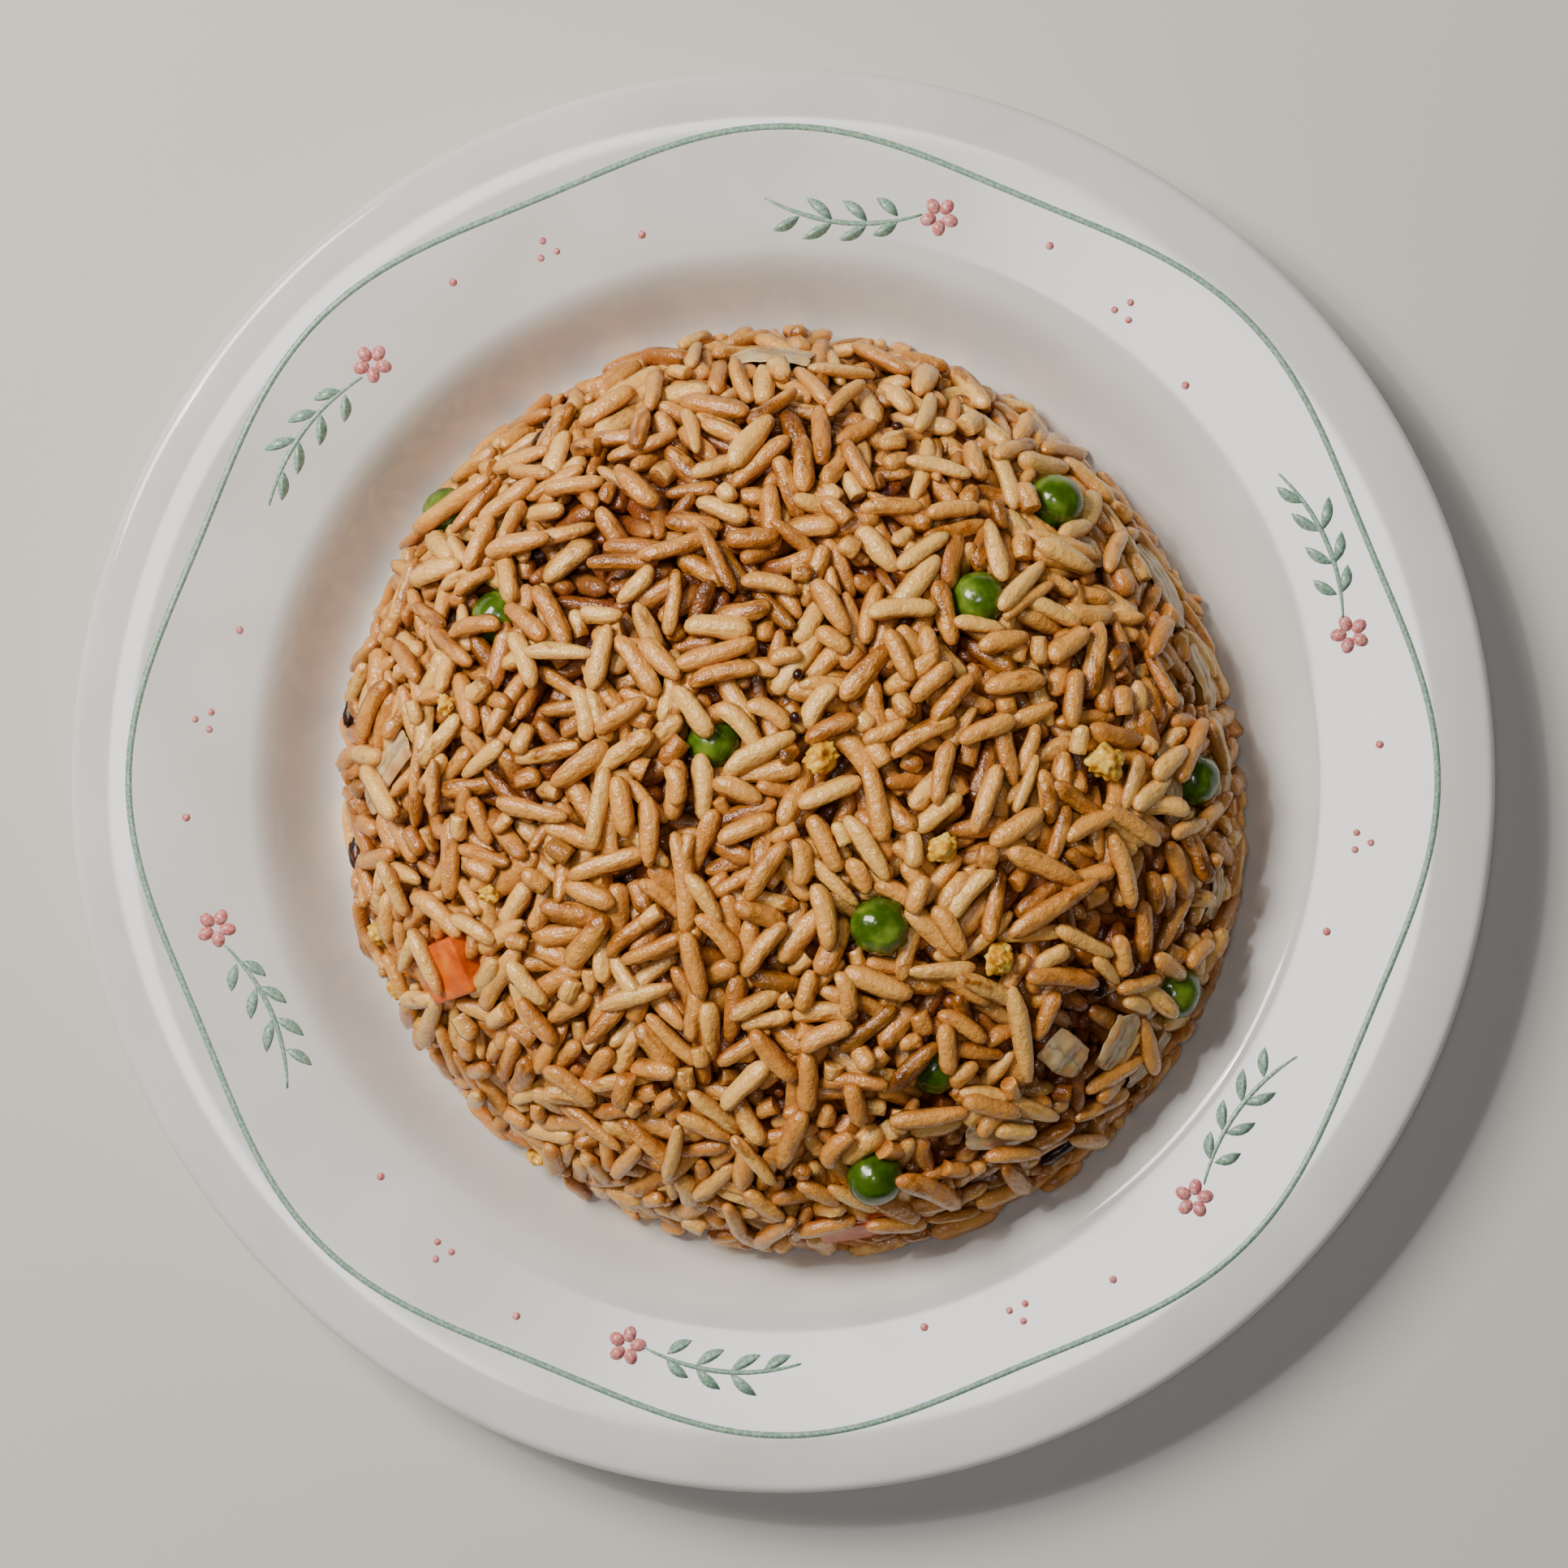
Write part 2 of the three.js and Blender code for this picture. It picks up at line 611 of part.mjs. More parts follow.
function buildFriedRicePlate() {
  const group = new THREE.Group();
  const toppings = listToppings();
  addMesh(group, 'plate', makePlate(), MATERIALS.plate);
  addMesh(group, 'rice_heap', makeRiceHeap(toppings), MATERIALS.rice);
  for (const topping of toppings) addMesh(group, topping.name, topping.make(0), topping.material);
  return group;
}

export default buildFriedRicePlate();
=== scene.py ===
"""Fried rice on a white flowered plate: the looks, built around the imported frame."""
import logging
import math
from dataclasses import dataclass, field, replace
from enum import Enum

import bmesh
import bpy
import numpy as np
from mathutils import Matrix, Vector, noise


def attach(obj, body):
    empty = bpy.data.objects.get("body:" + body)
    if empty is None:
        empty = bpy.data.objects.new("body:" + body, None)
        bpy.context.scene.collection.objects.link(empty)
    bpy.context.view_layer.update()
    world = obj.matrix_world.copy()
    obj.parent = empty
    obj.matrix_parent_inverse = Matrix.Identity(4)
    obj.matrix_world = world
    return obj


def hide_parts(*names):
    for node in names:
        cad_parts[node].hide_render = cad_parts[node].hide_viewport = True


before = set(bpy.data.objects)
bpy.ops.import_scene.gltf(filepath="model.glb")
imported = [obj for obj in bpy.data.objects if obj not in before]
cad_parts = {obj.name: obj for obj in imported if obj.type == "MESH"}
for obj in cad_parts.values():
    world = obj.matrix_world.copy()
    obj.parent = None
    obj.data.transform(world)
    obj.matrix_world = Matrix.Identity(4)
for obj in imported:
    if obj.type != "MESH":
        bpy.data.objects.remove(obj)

LOG = logging.getLogger("fried_rice_plate")
MM = 0.001
BODY = "root"
GOLDEN_ANGLE = math.pi * (3 - math.sqrt(5))
COLOUR_A, COLOUR_B, MIXED_COLOUR = 6, 7, 2  # the Mix node's colour sockets
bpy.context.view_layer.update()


def linear(hex_code: str) -> tuple[float, float, float, float]:
    """Turns an sRGB hex colour into linear light.

    Args:
        hex_code: The colour as "#RRGGBB".

    Returns:
        Red, green, blue and an alpha of one.
    """
    channels = [int(hex_code[i:i + 2], 16) / 255 for i in (1, 3, 5)]
    light = [c / 12.92 if c <= 0.04045 else ((c + 0.055) / 1.055) ** 2.4 for c in channels]
    return (*light, 1.0)


def add_node(tree: bpy.types.NodeTree, kind: str, settings: dict | None = None,
             links: dict | None = None) -> bpy.types.Node:
    """Adds a shader node with its settings and links.

    Args:
        tree: The material's node tree.
        kind: The node's type name.
        settings: Node properties by name, and input values by socket name or number.
        links: Output sockets to join to inputs, by socket name or number.

    Returns:
        The new node.
    """
    node = tree.nodes.new(kind)
    for key, value in (settings or {}).items():
        if isinstance(key, str) and hasattr(node, key):
            setattr(node, key, value)
        else:
            node.inputs[key].default_value = value
    for key, output in (links or {}).items():
        tree.links.new(output, node.inputs[key])
    return node


class Surface:
    """A material while its nodes are laid: a Principled surface with patterns on object coordinates."""

    def __init__(self, name: str) -> None:
        """Makes the material.

        Args:
            name: The material's name.
        """
        self.material = bpy.data.materials.new(name)
        self.material.use_nodes = True
        self.tree = self.material.node_tree
        self.shader = self.tree.nodes["Principled BSDF"]
        self.place = add_node(self.tree, "ShaderNodeTexCoord").outputs["Object"]

    def noise(self, size_mm: float, detail: float = 2.0, **settings: float) -> bpy.types.NodeSocket:
        """Adds noise whose pattern repeats every `size_mm` millimetres, and returns its value."""
        values = {"Scale": 1 / (size_mm * MM), "Detail": detail, **settings}
        return add_node(self.tree, "ShaderNodeTexNoise", values, {"Vector": self.place}).outputs["Fac"]

    def attribute(self, name: str, output: str = "Fac") -> bpy.types.NodeSocket:
        """Reads a value that the mesh keeps for each corner."""
        return add_node(self.tree, "ShaderNodeAttribute", {"attribute_name": name}).outputs[output]

    def math(self, operation: str, first: bpy.types.NodeSocket, second: bpy.types.NodeSocket | float,
             third: bpy.types.NodeSocket | float | None = None, clamp: bool = False) -> bpy.types.NodeSocket:
        """Adds arithmetic on sockets and numbers, and returns its result."""
        settings, links = {"operation": operation, "use_clamp": clamp}, {0: first}
        for number, value in enumerate((second, third), 1):
            if isinstance(value, bpy.types.NodeSocket):
                links[number] = value
            elif value is not None:
                settings[number] = value
        return add_node(self.tree, "ShaderNodeMath", settings, links).outputs[0]

    def remap(self, value: bpy.types.NodeSocket, source: tuple[float, float] = (0.0, 1.0),
              target: tuple[float, float] = (0.0, 1.0)) -> bpy.types.NodeSocket:
        """Maps one range of a value on another, clamped."""
        settings = {"From Min": source[0], "From Max": source[1], "To Min": target[0], "To Max": target[1]}
        return add_node(self.tree, "ShaderNodeMapRange", settings, {"Value": value}).outputs[0]

    def ramp(self, value: bpy.types.NodeSocket, *stops: tuple[float, str]) -> bpy.types.NodeSocket:
        """Turns a value into colour by stops, each a position from 0 to 1 with its hex colour."""
        ramp = add_node(self.tree, "ShaderNodeValToRGB", {}, {"Fac": value})
        elements = ramp.color_ramp.elements
        while len(elements) < len(stops):
            elements.new(0.5)
        for element, (position, hex_code) in zip(elements, stops):
            element.position = position
            element.color = linear(hex_code)
        return ramp.outputs["Color"]

    def mix_colour(self, share: bpy.types.NodeSocket, colour: bpy.types.NodeSocket,
              hex_code: str) -> bpy.types.NodeSocket:
        """Mixes a share of a hex colour into a colour."""
        settings = {"data_type": "RGBA", COLOUR_B: linear(hex_code)}
        mixed = add_node(self.tree, "ShaderNodeMix", settings, {0: share, COLOUR_A: colour})
        return mixed.outputs[MIXED_COLOUR]

    def bump(self, height: bpy.types.NodeSocket, strength: float, depth_mm: float,
             normal: bpy.types.NodeSocket | None = None) -> bpy.types.NodeSocket:
        """Raises fine relief, over an earlier relief if one is given."""
        links = {"Height": height, **({"Normal": normal} if normal else {})}
        return add_node(self.tree, "ShaderNodeBump", {"Strength": strength, "Distance": depth_mm * MM},
                        links).outputs[0]

    def join(self, output: bpy.types.NodeSocket, *names: str) -> None:
        """Joins an output to inputs of the surface."""
        for name in names:
            self.tree.links.new(output, self.shader.inputs[name])

    def finish(self, values: dict[str, float | tuple[float, ...]]) -> bpy.types.Material:
        """Sets the surface's fixed values and returns the finished material."""
        for name, value in values.items():
            self.shader.inputs[name].default_value = value
        return self.material


@dataclass(frozen=True)
class CookedRice:
    """Boiled long grain fried with soy sauce: milky starch under an oily film, so light glows through
    its thin edges, it stains brown in streaks, and small glints break along each ridge. Painted shade darkens
    each grain's underside and flanks, and the grains in the gaps, where it also stands for dried sauce."""

    name: str
    pale: str = "#FABC5E"
    tan: str = "#E29A44"
    deep: str = "#AC6622"
    # painted shade: the warm dark colour laid on each grain's underside and flanks
    edge: str = "#944404"
    streak: str = "#A86418"
    burnt: str = "#6A3A0C"
    # painted shade and dried sauce: the dark colour of corners that lie deep in the gaps of the heap
    gap_shade_and_sauce: str = "#702C08"
    roughness: float = 0.3
    patch_mm: float = 24.0
    mottle_mm: float = 1.8
    pit_mm: float = 0.9
    glow_mm: float = 1.3
    roughness_spread: tuple[float, float] = (-0.1, 0.16)
    crease_mm: float = 0.6
    crease_stretch: tuple[float, float, float] = (1.3, 1.3, 0.5)
    pit_depth_mm: float = 0.34
    shade_spread: float = 0.7
    streaked_heat: tuple[float, float] = (0.66, 0.86)
    burnt_heat: tuple[float, float] = (0.88, 1.04)

    def build(self) -> bpy.types.Material:
        """Builds the material and returns it."""
        skin = Surface(self.name)
        mottle = skin.noise(self.mottle_mm, 3.0)
        drawn = add_node(skin.tree, "ShaderNodeMapping", {"Scale": self.crease_stretch},
                         {"Vector": skin.attribute("grain_place", "Vector")})
        creases = add_node(skin.tree, "ShaderNodeTexNoise", {"Scale": 0.9, "Detail": 3.0, "Distortion": 0.2},
                           {"Vector": drawn.outputs[0]}).outputs["Fac"]
        skin.join(self.stained_and_shaded(skin, self.body(skin, mottle), creases), "Base Color")
        smooth, dull = (self.roughness + spread for spread in self.roughness_spread)
        skin.join(skin.remap(mottle, (0.3, 0.7), (smooth, dull)), "Roughness")
        ridges = skin.bump(creases, 0.55, self.crease_mm)
        pits = skin.noise(self.pit_mm, 3.0, Roughness=0.6)
        skin.join(skin.bump(pits, 1.0, self.pit_depth_mm, ridges), "Normal", "Coat Normal")
        return skin.finish({"IOR": 1.45, "Subsurface Weight": 0.25,
                            "Subsurface Radius": (1.0, 0.58, 0.3), "Subsurface Scale": self.glow_mm * MM,
                            "Coat Weight": 1.0, "Coat Roughness": 0.12})

    def body(self, skin: Surface, mottle: bpy.types.NodeSocket) -> bpy.types.NodeSocket:
        """Mixes the grain's own colour: its tint, shifted by wide patches and fine mottling.

        Args:
            skin: The material so far.
            mottle: The fine mottling.

        Returns:
            The colour.
        """
        tint = skin.attribute("grain_tint")
        shift, speck = (skin.math("MULTIPLY_ADD", value, self.shade_spread, -self.shade_spread / 2)
                        for value in (skin.noise(self.patch_mm), mottle))
        shade = skin.math("ADD", skin.math("ADD", tint, shift), speck, clamp=True)
        return skin.ramp(shade, (0.05, self.pale), (0.5, self.tan), (0.95, self.deep))

    def stained_and_shaded(self, skin: Surface, colour: bpy.types.NodeSocket,
                creases: bpy.types.NodeSocket) -> bpy.types.NodeSocket:
        """Lays painted shade on the grain's underside and flanks, fried streaks over the grain's colour, and
        a dark colour where it lies deep in the heap, which is painted shade in the gaps and dried sauce.

        Args:
            skin: The material so far.
            colour: The grain's own colour.
            creases: The folds that the streaks follow.

        Returns:
            The colour with its streaks and painted shade.
        """
        heat = skin.math("MULTIPLY_ADD", skin.attribute("grain_toast"), 0.5, creases)
        # painted shade: the grain's underside and flanks darken towards the edge colour
        colour = skin.mix_colour(skin.attribute("grain_flank_shade"), colour, self.edge)
        colour = skin.mix_colour(skin.remap(heat, self.streaked_heat), colour, self.streak)
        colour = skin.mix_colour(skin.remap(heat, self.burnt_heat), colour, self.burnt)
        # painted shade in the gaps, partly dried sauce: corners deep in the heap darken
        return skin.mix_colour(skin.attribute("grain_gap_shade_and_sauce"), colour, self.gap_shade_and_sauce)


# Rice fried until it took up the sauce evenly: whole grains, and grains broken in the wok.
TAN_RICE = CookedRice("fried_rice_tan")
BROKEN_RICE = CookedRice("broken_rice_tan")
# Grains that stayed pale, because little sauce reached them.
PALE_RICE = CookedRice("fried_rice_pale", "#FFC86C", "#F4B254", "#D28830", "#A4560C")
# Grains browned on the hot face of the wok.
BROWNED_RICE = CookedRice("fried_rice_browned", "#D69C4A", "#C08032", "#98601A", "#743804", "#864A0E")
# Grains under the top ones, wet with sauce; their darker colours are also painted shade.
DEEP_RICE = CookedRice("fried_rice_deep", "#B2702E", "#985618", "#70380A", "#702E04")
# Rice pressed together in the bowl, soaked with sauce; its dark colour is also painted shade between the
# loose grains.
CORE_RICE = CookedRice("packed_rice_core", "#904614", "#74320A", "#582206", "#642A06", "#4A1A04", "#3A1404",
                       "#4A1A04", 0.4)


@dataclass(frozen=True)
class SoftFood:
    """Moist cooked vegetable or egg: a body colour broken by a paler and a darker one, with a wet skin.
    The fields hold what differs between pea skin, cut carrot, onion flesh, egg curd and browned scraps."""

    name: str
    dark: str
    main: str
    light: str
    blotch_mm: float
    grain_mm: float
    roughness: float
    relief_mm: float
    glow: float = 0.25
    glow_mm: float = 1.2
    coat: float = 0.3

    def build(self) -> bpy.types.Material:
        """Builds the material and returns it."""
        skin = Surface(self.name)
        blotch = skin.noise(self.blotch_mm, 3.0)
        skin.join(skin.ramp(blotch, (0.3, self.dark), (0.5, self.main), (0.72, self.light)), "Base Color")
        grain = skin.noise(self.grain_mm, 3.0)
        gloss = skin.remap(grain, (0.3, 0.7), (max(0.05, self.roughness - 0.08), self.roughness + 0.1))
        skin.join(gloss, "Roughness")
        skin.join(skin.bump(grain, 0.5, self.relief_mm), "Normal")
        return skin.finish({"IOR": 1.4, "Subsurface Weight": self.glow, "Subsurface Radius": (1.0, 0.6, 0.3),
                            "Subsurface Scale": self.glow_mm * MM, "Coat Weight": self.coat,
                            "Coat Roughness": 0.12})


@dataclass(frozen=True)
class WhiteGlaze:
    """Fired white glaze on porcelain, dipped and run smooth: even, faintly warm, with a sharp soft gloss
    that waves a little where the glaze lies thicker."""

    name: str = "white_porcelain_glaze"
    thick: str = "#DFDEDA"
    thin: str = "#E8E7E4"
    wave_mm: float = 18.0
    roughness: float = 0.06

    def build(self) -> bpy.types.Material:
        """Builds the material and returns it."""
        glaze = Surface(self.name)
        wave = glaze.noise(self.wave_mm, 1.0)
        glaze.join(glaze.ramp(wave, (0.3, self.thick), (0.7, self.thin)), "Base Color")
        glaze.join(glaze.bump(wave, 0.15, 0.1), "Normal")
        glaze.join(glaze.remap(wave, target=(self.roughness, self.roughness + 0.05)), "Roughness")
        return glaze.finish({"IOR": 1.5})


@dataclass(frozen=True)
class OverglazeInk:
    """Ceramic transfer ink fired on the glaze: flat colour in a fine dotted screen, a little duller than
    the glaze round it."""

    name: str
    solid: str
    screen: str
    dot_mm: float = 0.5

    def build(self) -> bpy.types.Material:
        """Builds the material and returns it."""
        ink = Surface(self.name)
        dots = add_node(ink.tree, "ShaderNodeTexVoronoi", {"Scale": 1 / (self.dot_mm * MM)},
                        {"Vector": ink.place})
        ink.join(ink.ramp(dots.outputs["Distance"], (0.35, self.solid), (0.75, self.screen)), "Base Color")
        return ink.finish({"Roughness": 0.24, "IOR": 1.5})


@dataclass(frozen=True)
class MattPaper:
    """Pale matt studio paper under the plate."""

    name: str = "pale_studio_paper"
    tone: str = "#D8D6D1"
    fibre_mm: float = 3.0

    def build(self) -> bpy.types.Material:
        """Builds the material and returns it."""
        paper = Surface(self.name)
        paper.join(paper.bump(paper.noise(self.fibre_mm), 0.1, 0.1), "Normal")
        return paper.finish({"Base Color": linear(self.tone), "Roughness": 0.8})


def show(mesh: bpy.types.Mesh, name: str, material: bpy.types.Material) -> bpy.types.Object:
    """Puts a finished mesh in the scene.

    Args:
        mesh: The mesh, in metres and in place.
        name: The piece's name.
        material: Its finish.

    Returns:
        The new object.
    """
    mesh.materials.append(material)
    piece = bpy.data.objects.new(name, mesh)
    bpy.context.scene.collection.objects.link(piece)
    return piece


def show_bmesh(shape: bmesh.types.BMesh, name: str, material: bpy.types.Material) -> bpy.types.Object:
    """Finishes a bmesh drawn in millimetres and puts it in the scene.

    Args:
        shape: The bmesh, which is freed.
        name: The piece's name.
        material: Its finish.

    Returns:
        The new object, shaded smooth.
    """
    bmesh.ops.remove_doubles(shape, verts=shape.verts, dist=0.001)
    bmesh.ops.recalc_face_normals(shape, faces=shape.faces)
    bmesh.ops.scale(shape, verts=shape.verts, vec=(MM, MM, MM))
    for face in shape.faces:
        face.smooth = True
    mesh = bpy.data.meshes.new(name)
    shape.to_mesh(mesh)
    shape.free()
    return show(mesh, name, material)


def dress(piece: bpy.types.Object, slot: str, *nodes: str) -> None:
    """Rides a piece on the object's body, and hides the CAD nodes that it stands for.

    Args:
        piece: The finished piece.
        slot: The name of its material slot; not used.
        nodes: The CAD nodes that it replaces.
    """
    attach(piece, BODY)
    if nodes:
        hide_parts(*nodes)
    LOG.info("%s: %d faces", piece.name, len(piece.data.polygons))


def smooth_step(share: np.ndarray | float) -> np.ndarray | float:
    """Eases a share from 0 to 1."""
    t = np.clip(share, 0, 1)
    return t * t * (3 - 2 * t)


@dataclass(frozen=True)
class PlateForm:
    """The plate's section, in millimetres."""

    radius: float = 107.9
    floor_top: float = 4.6
    wall_inner: float = 67.5
    wall_outer: float = 81.5
    wall_rise: float = 11.6
    flange_slope: float = 0.13
    band_inner: float = 98.0
    band_outer: float = 108.0
    band_drop: float = 1.5
    rim_rounding: float = 1.7
    ware: float = 3.5
    foot_inner: float = 58.0
    foot_outer: float = 63.0

    def top(self, radius: np.ndarray | float) -> np.ndarray | float:
        """Gives the height of the upper face at a radius."""
        wall = smooth_step((radius - self.wall_inner) / (self.wall_outer - self.wall_inner))
        flange = self.wall_rise + self.flange_slope * (radius - self.wall_outer)
        band = np.maximum(0, (radius - self.band_inner) / (self.band_outer - self.band_inner))
        return self.floor_top + wall * flange - self.band_drop * band * band

    def under(self, radius: float) -> tuple[float, float]:
        """Gives the point one ware thickness under the upper face, square to it."""
        step = 0.01
        slope = (self.top(radius + step) - self.top(radius - step)) / (2 * step)
        length = math.hypot(slope, 1)
        return radius + self.ware * slope / length, self.top(radius) - self.ware / length


@dataclass
class Plate:
    """The white plate, turned from its section, with a foot ring below."""

    form: PlateForm = field(default_factory=PlateForm)
    sides: int = 192

    def section(self) -> list[tuple[float, float]]:
        """Gives the outline from the middle of the upper face round to the middle of the underside."""
        form = self.form
        lip = form.radius - form.rim_rounding
        floor = [0.0, 30.0, 55.0, 64.0]
        radii = [*floor, *np.linspace(form.wall_inner, form.wall_outer, 22), *np.linspace(84, 98, 5),
                 *np.linspace(99, lip, 9)]
        outline = [(float(r), float(form.top(r))) for r in radii]
        lip_height = outline[-1][1] - form.rim_rounding
        for degrees in (75, 58, 40, 22, 4, -14, -32, -50, -70):
            turn = math.radians(degrees)
            outline.append((lip + form.rim_rounding * math.cos(turn),
                            lip_height + form.rim_rounding * math.sin(turn)))
        outline += [form.under(float(r)) for r in (100, 92, 85)]
        outline += [form.under(float(r)) for r in np.linspace(form.wall_outer, form.wall_inner, 14)]
        rest = form.floor_top - form.ware
        foot = ((1.2, rest), (0.4, rest * 0.7), (0.0, 0.25), (-0.3, 0.0))
        outline += [(form.foot_outer + aside, height) for aside, height in foot]
        outline += [(form.foot_inner - aside, height) for aside, height in reversed(foot)]
        return [*outline, (30.0, rest), (0.0, rest)]

    def build(self) -> None:
        """Spins the section into the plate, and dresses it."""
        shape = bmesh.new()
        corners = [shape.verts.new((r, 0, z)) for r, z in self.section()]
        edges = [shape.edges.new(pair) for pair in zip(corners, corners[1:])]
        bmesh.ops.spin(shape, geom=corners + edges, cent=(0, 0, 0), axis=(0, 0, 1), angle=math.tau,
                       steps=self.sides, use_merge=True)
        dress(show_bmesh(shape, "plate_glazed", WhiteGlaze().build()), "glaze", "plate")


@dataclass(frozen=True)
class HeapForm:
    """The mound's form, in millimetres: the same blunt dome as the rice node."""

    centre: tuple[float, float] = (1.5, -1.7)
    radius: float = 68.6
    stretch: float = 1.46
    stretch_angle: float = -59.0
    cornering: float = 0.37
    cornering_angle: float = -29.0
    top: float = 45.4
    shoulder: float = 2.8
    flank: float = 0.55
    well_gap: float = 0.45
    plate: PlateForm = field(default_factory=PlateForm)

    def outline(self, angle: np.ndarray) -> np.ndarray:
        """Gives the mound's radius towards each angle in plan."""
        stretch = np.cos(2 * (angle - math.radians(self.stretch_angle)))
        corner = np.cos(3 * (angle - math.radians(self.cornering_angle)))
        return self.radius + self.stretch * stretch + self.cornering * corner

    def foot(self, angle: np.ndarray) -> np.ndarray:
        """Gives the height at which the mound meets the well."""
        reach = self.outline(angle)
        x = self.centre[0] + reach * np.cos(angle)
        y = self.centre[1] + reach * np.sin(angle)
        return self.plate.top(np.hypot(x, y)) + self.well_gap

    def surface(self, turn: np.ndarray, angle: np.ndarray) -> tuple[np.ndarray, np.ndarray]:
        """Gives points of the dome and their outward directions.

        Args:
            turn: 0 at the top to a quarter turn at the foot, for each point.
            angle: The point's direction in plan.

        Returns:
            Points and unit outward vectors, both with three columns.
        """
        radius = self.radius * np.sin(turn) ** (2 / self.shoulder)
        share = np.cos(turn) ** (2 * self.flank)
        reach = radius * (1 + (self.outline(angle) / self.radius - 1) * radius / self.radius)
        foot = self.foot(angle)
        x = self.centre[0] + reach * np.cos(angle)
        y = self.centre[1] + reach * np.sin(angle)
        z = foot + (self.top - foot) * share
        out, up = self.slope(turn)
        return np.stack([x, y, z], 1), np.stack([np.cos(angle) * out, np.sin(angle) * out, up], 1)

    def slope(self, turn: np.ndarray) -> tuple[np.ndarray, np.ndarray]:
        """Gives the outward direction's level and upright shares."""
        sine = np.maximum(np.sin(turn), 1e-6)
        cosine = np.maximum(np.cos(turn), 1e-6)
        run = self.radius * 2 / self.shoulder * sine ** (2 / self.shoulder - 1) * cosine
        fall = 2 * self.flank * cosine ** (2 * self.flank - 1) * sine * (self.top - self.plate.floor_top)
        length = np.hypot(run, fall)
        return fall / length, run / length

    def depth(self, points: np.ndarray) -> tuple[np.ndarray, np.ndarray]:
        """Measures how far points stand outside the dome.

        Args:
            points: Points with three columns.

        Returns:
            Signed distances, plus outside, and unit outward vectors.
        """
        x = points[:, 0] - self.centre[0]
        y = points[:, 1] - self.centre[1]
        angle = np.arctan2(y, x)
        reach = self.outline(angle)
        foot = self.foot(angle)
        share = np.clip(np.hypot(x, y) / reach, 1e-4, 1.3)
        height = np.clip((points[:, 2] - foot) / (self.top - foot), 1e-4, 1.3)
        level = share ** self.shoulder + height ** (1 / self.flank) - 1
        run = self.shoulder * share ** (self.shoulder - 1) / reach
        rise = height ** (1 / self.flank - 1) / self.flank / (self.top - foot)
        steep = np.maximum(np.hypot(run, rise), 1e-5)
        outward = np.stack([np.cos(angle) * run / steep, np.sin(angle) * run / steep, rise / steep], 1)
        return level / steep, outward

    def spread(self, count: int, inset: float = 0.0) -> tuple[np.ndarray, np.ndarray]:
        """Spreads places evenly over the dome, along a sunflower spiral of equal areas.

        Args:
            count: How many places.
            inset: How much of the foot is left bare, as a share of a quarter turn.

        Returns:
            The turn and the angle of each place.
        """
        turns = np.linspace(0, math.pi / 2 * (1 - inset), 1500)
        radius = self.radius * np.sin(turns) ** (2 / self.shoulder)
        height = (self.top - self.plate.floor_top) * np.cos(turns) ** (2 * self.flank)
        lengths = np.hypot(np.diff(radius), np.diff(height))
        areas = np.concatenate([[0], np.cumsum(lengths * (radius[1:] + radius[:-1]))])
        wanted = (np.arange(count) + 0.5) / count * areas[-1]
        return np.interp(wanted, areas, turns), np.arange(count) * GOLDEN_ANGLE

    def seat(self, x: float, y: float) -> tuple[Vector, Vector]:
        """Gives the surface point above a place in plan, and its outward direction."""
        angle = math.atan2(y - self.centre[1], x - self.centre[0])
        plan = math.hypot(x - self.centre[0], y - self.centre[1])
        share = min(plan / float(self.outline(np.array(angle))), 0.99)
        turn = math.asin(share ** (self.shoulder / 2))
        foot = float(self.foot(np.array(angle)))
        height = foot + (self.top - foot) * math.cos(turn) ** (2 * self.flank)
        out, up = self.slope(np.array(turn))
        return Vector((x, y, height)), Vector((math.cos(angle) * out, math.sin(angle) * out, up)).normalized()


HEAP = HeapForm()


@dataclass(frozen=True)
class Perch:
    """Where a topping sits on the mound, in millimetres. Its own X runs along its length, Y outwards and
    Z across it."""

    middle: tuple[float, float]
    rise: float
    heading: float = 0.0
    ends: tuple[tuple[float, float], tuple[float, float]] | None = None

    @staticmethod
    def between(start: tuple[float, float], end: tuple[float, float], rise: float) -> "Perch":
        """Gives the perch of a piece that lies between two places in plan."""
        return Perch(((start[0] + end[0]) / 2, (start[1] + end[1]) / 2), rise, 0.0, (start, end))

    def along(self) -> Vector:
        """Gives the direction of the piece's length before it is laid on the surface."""
        if self.ends:
            return HEAP.seat(*self.ends[1])[0] - HEAP.seat(*self.ends[0])[0]
        turn = math.radians(self.heading)
        return Vector((math.cos(turn), math.sin(turn), 0))

    def length(self) -> float:
        """Gives the distance between the two ends."""
        return self.along().length

    def matrix(self) -> Matrix:
        """Gives the turn and place of the piece."""
        place, outward = HEAP.seat(*self.middle)
        along = self.along()
        length = (along - outward * along.dot(outward)).normalized()
        width = length.cross(outward)
        turn = Matrix((length, outward, width)).transposed().to_4x4()
        return Matrix.Translation(place + outward * self.rise) @ turn


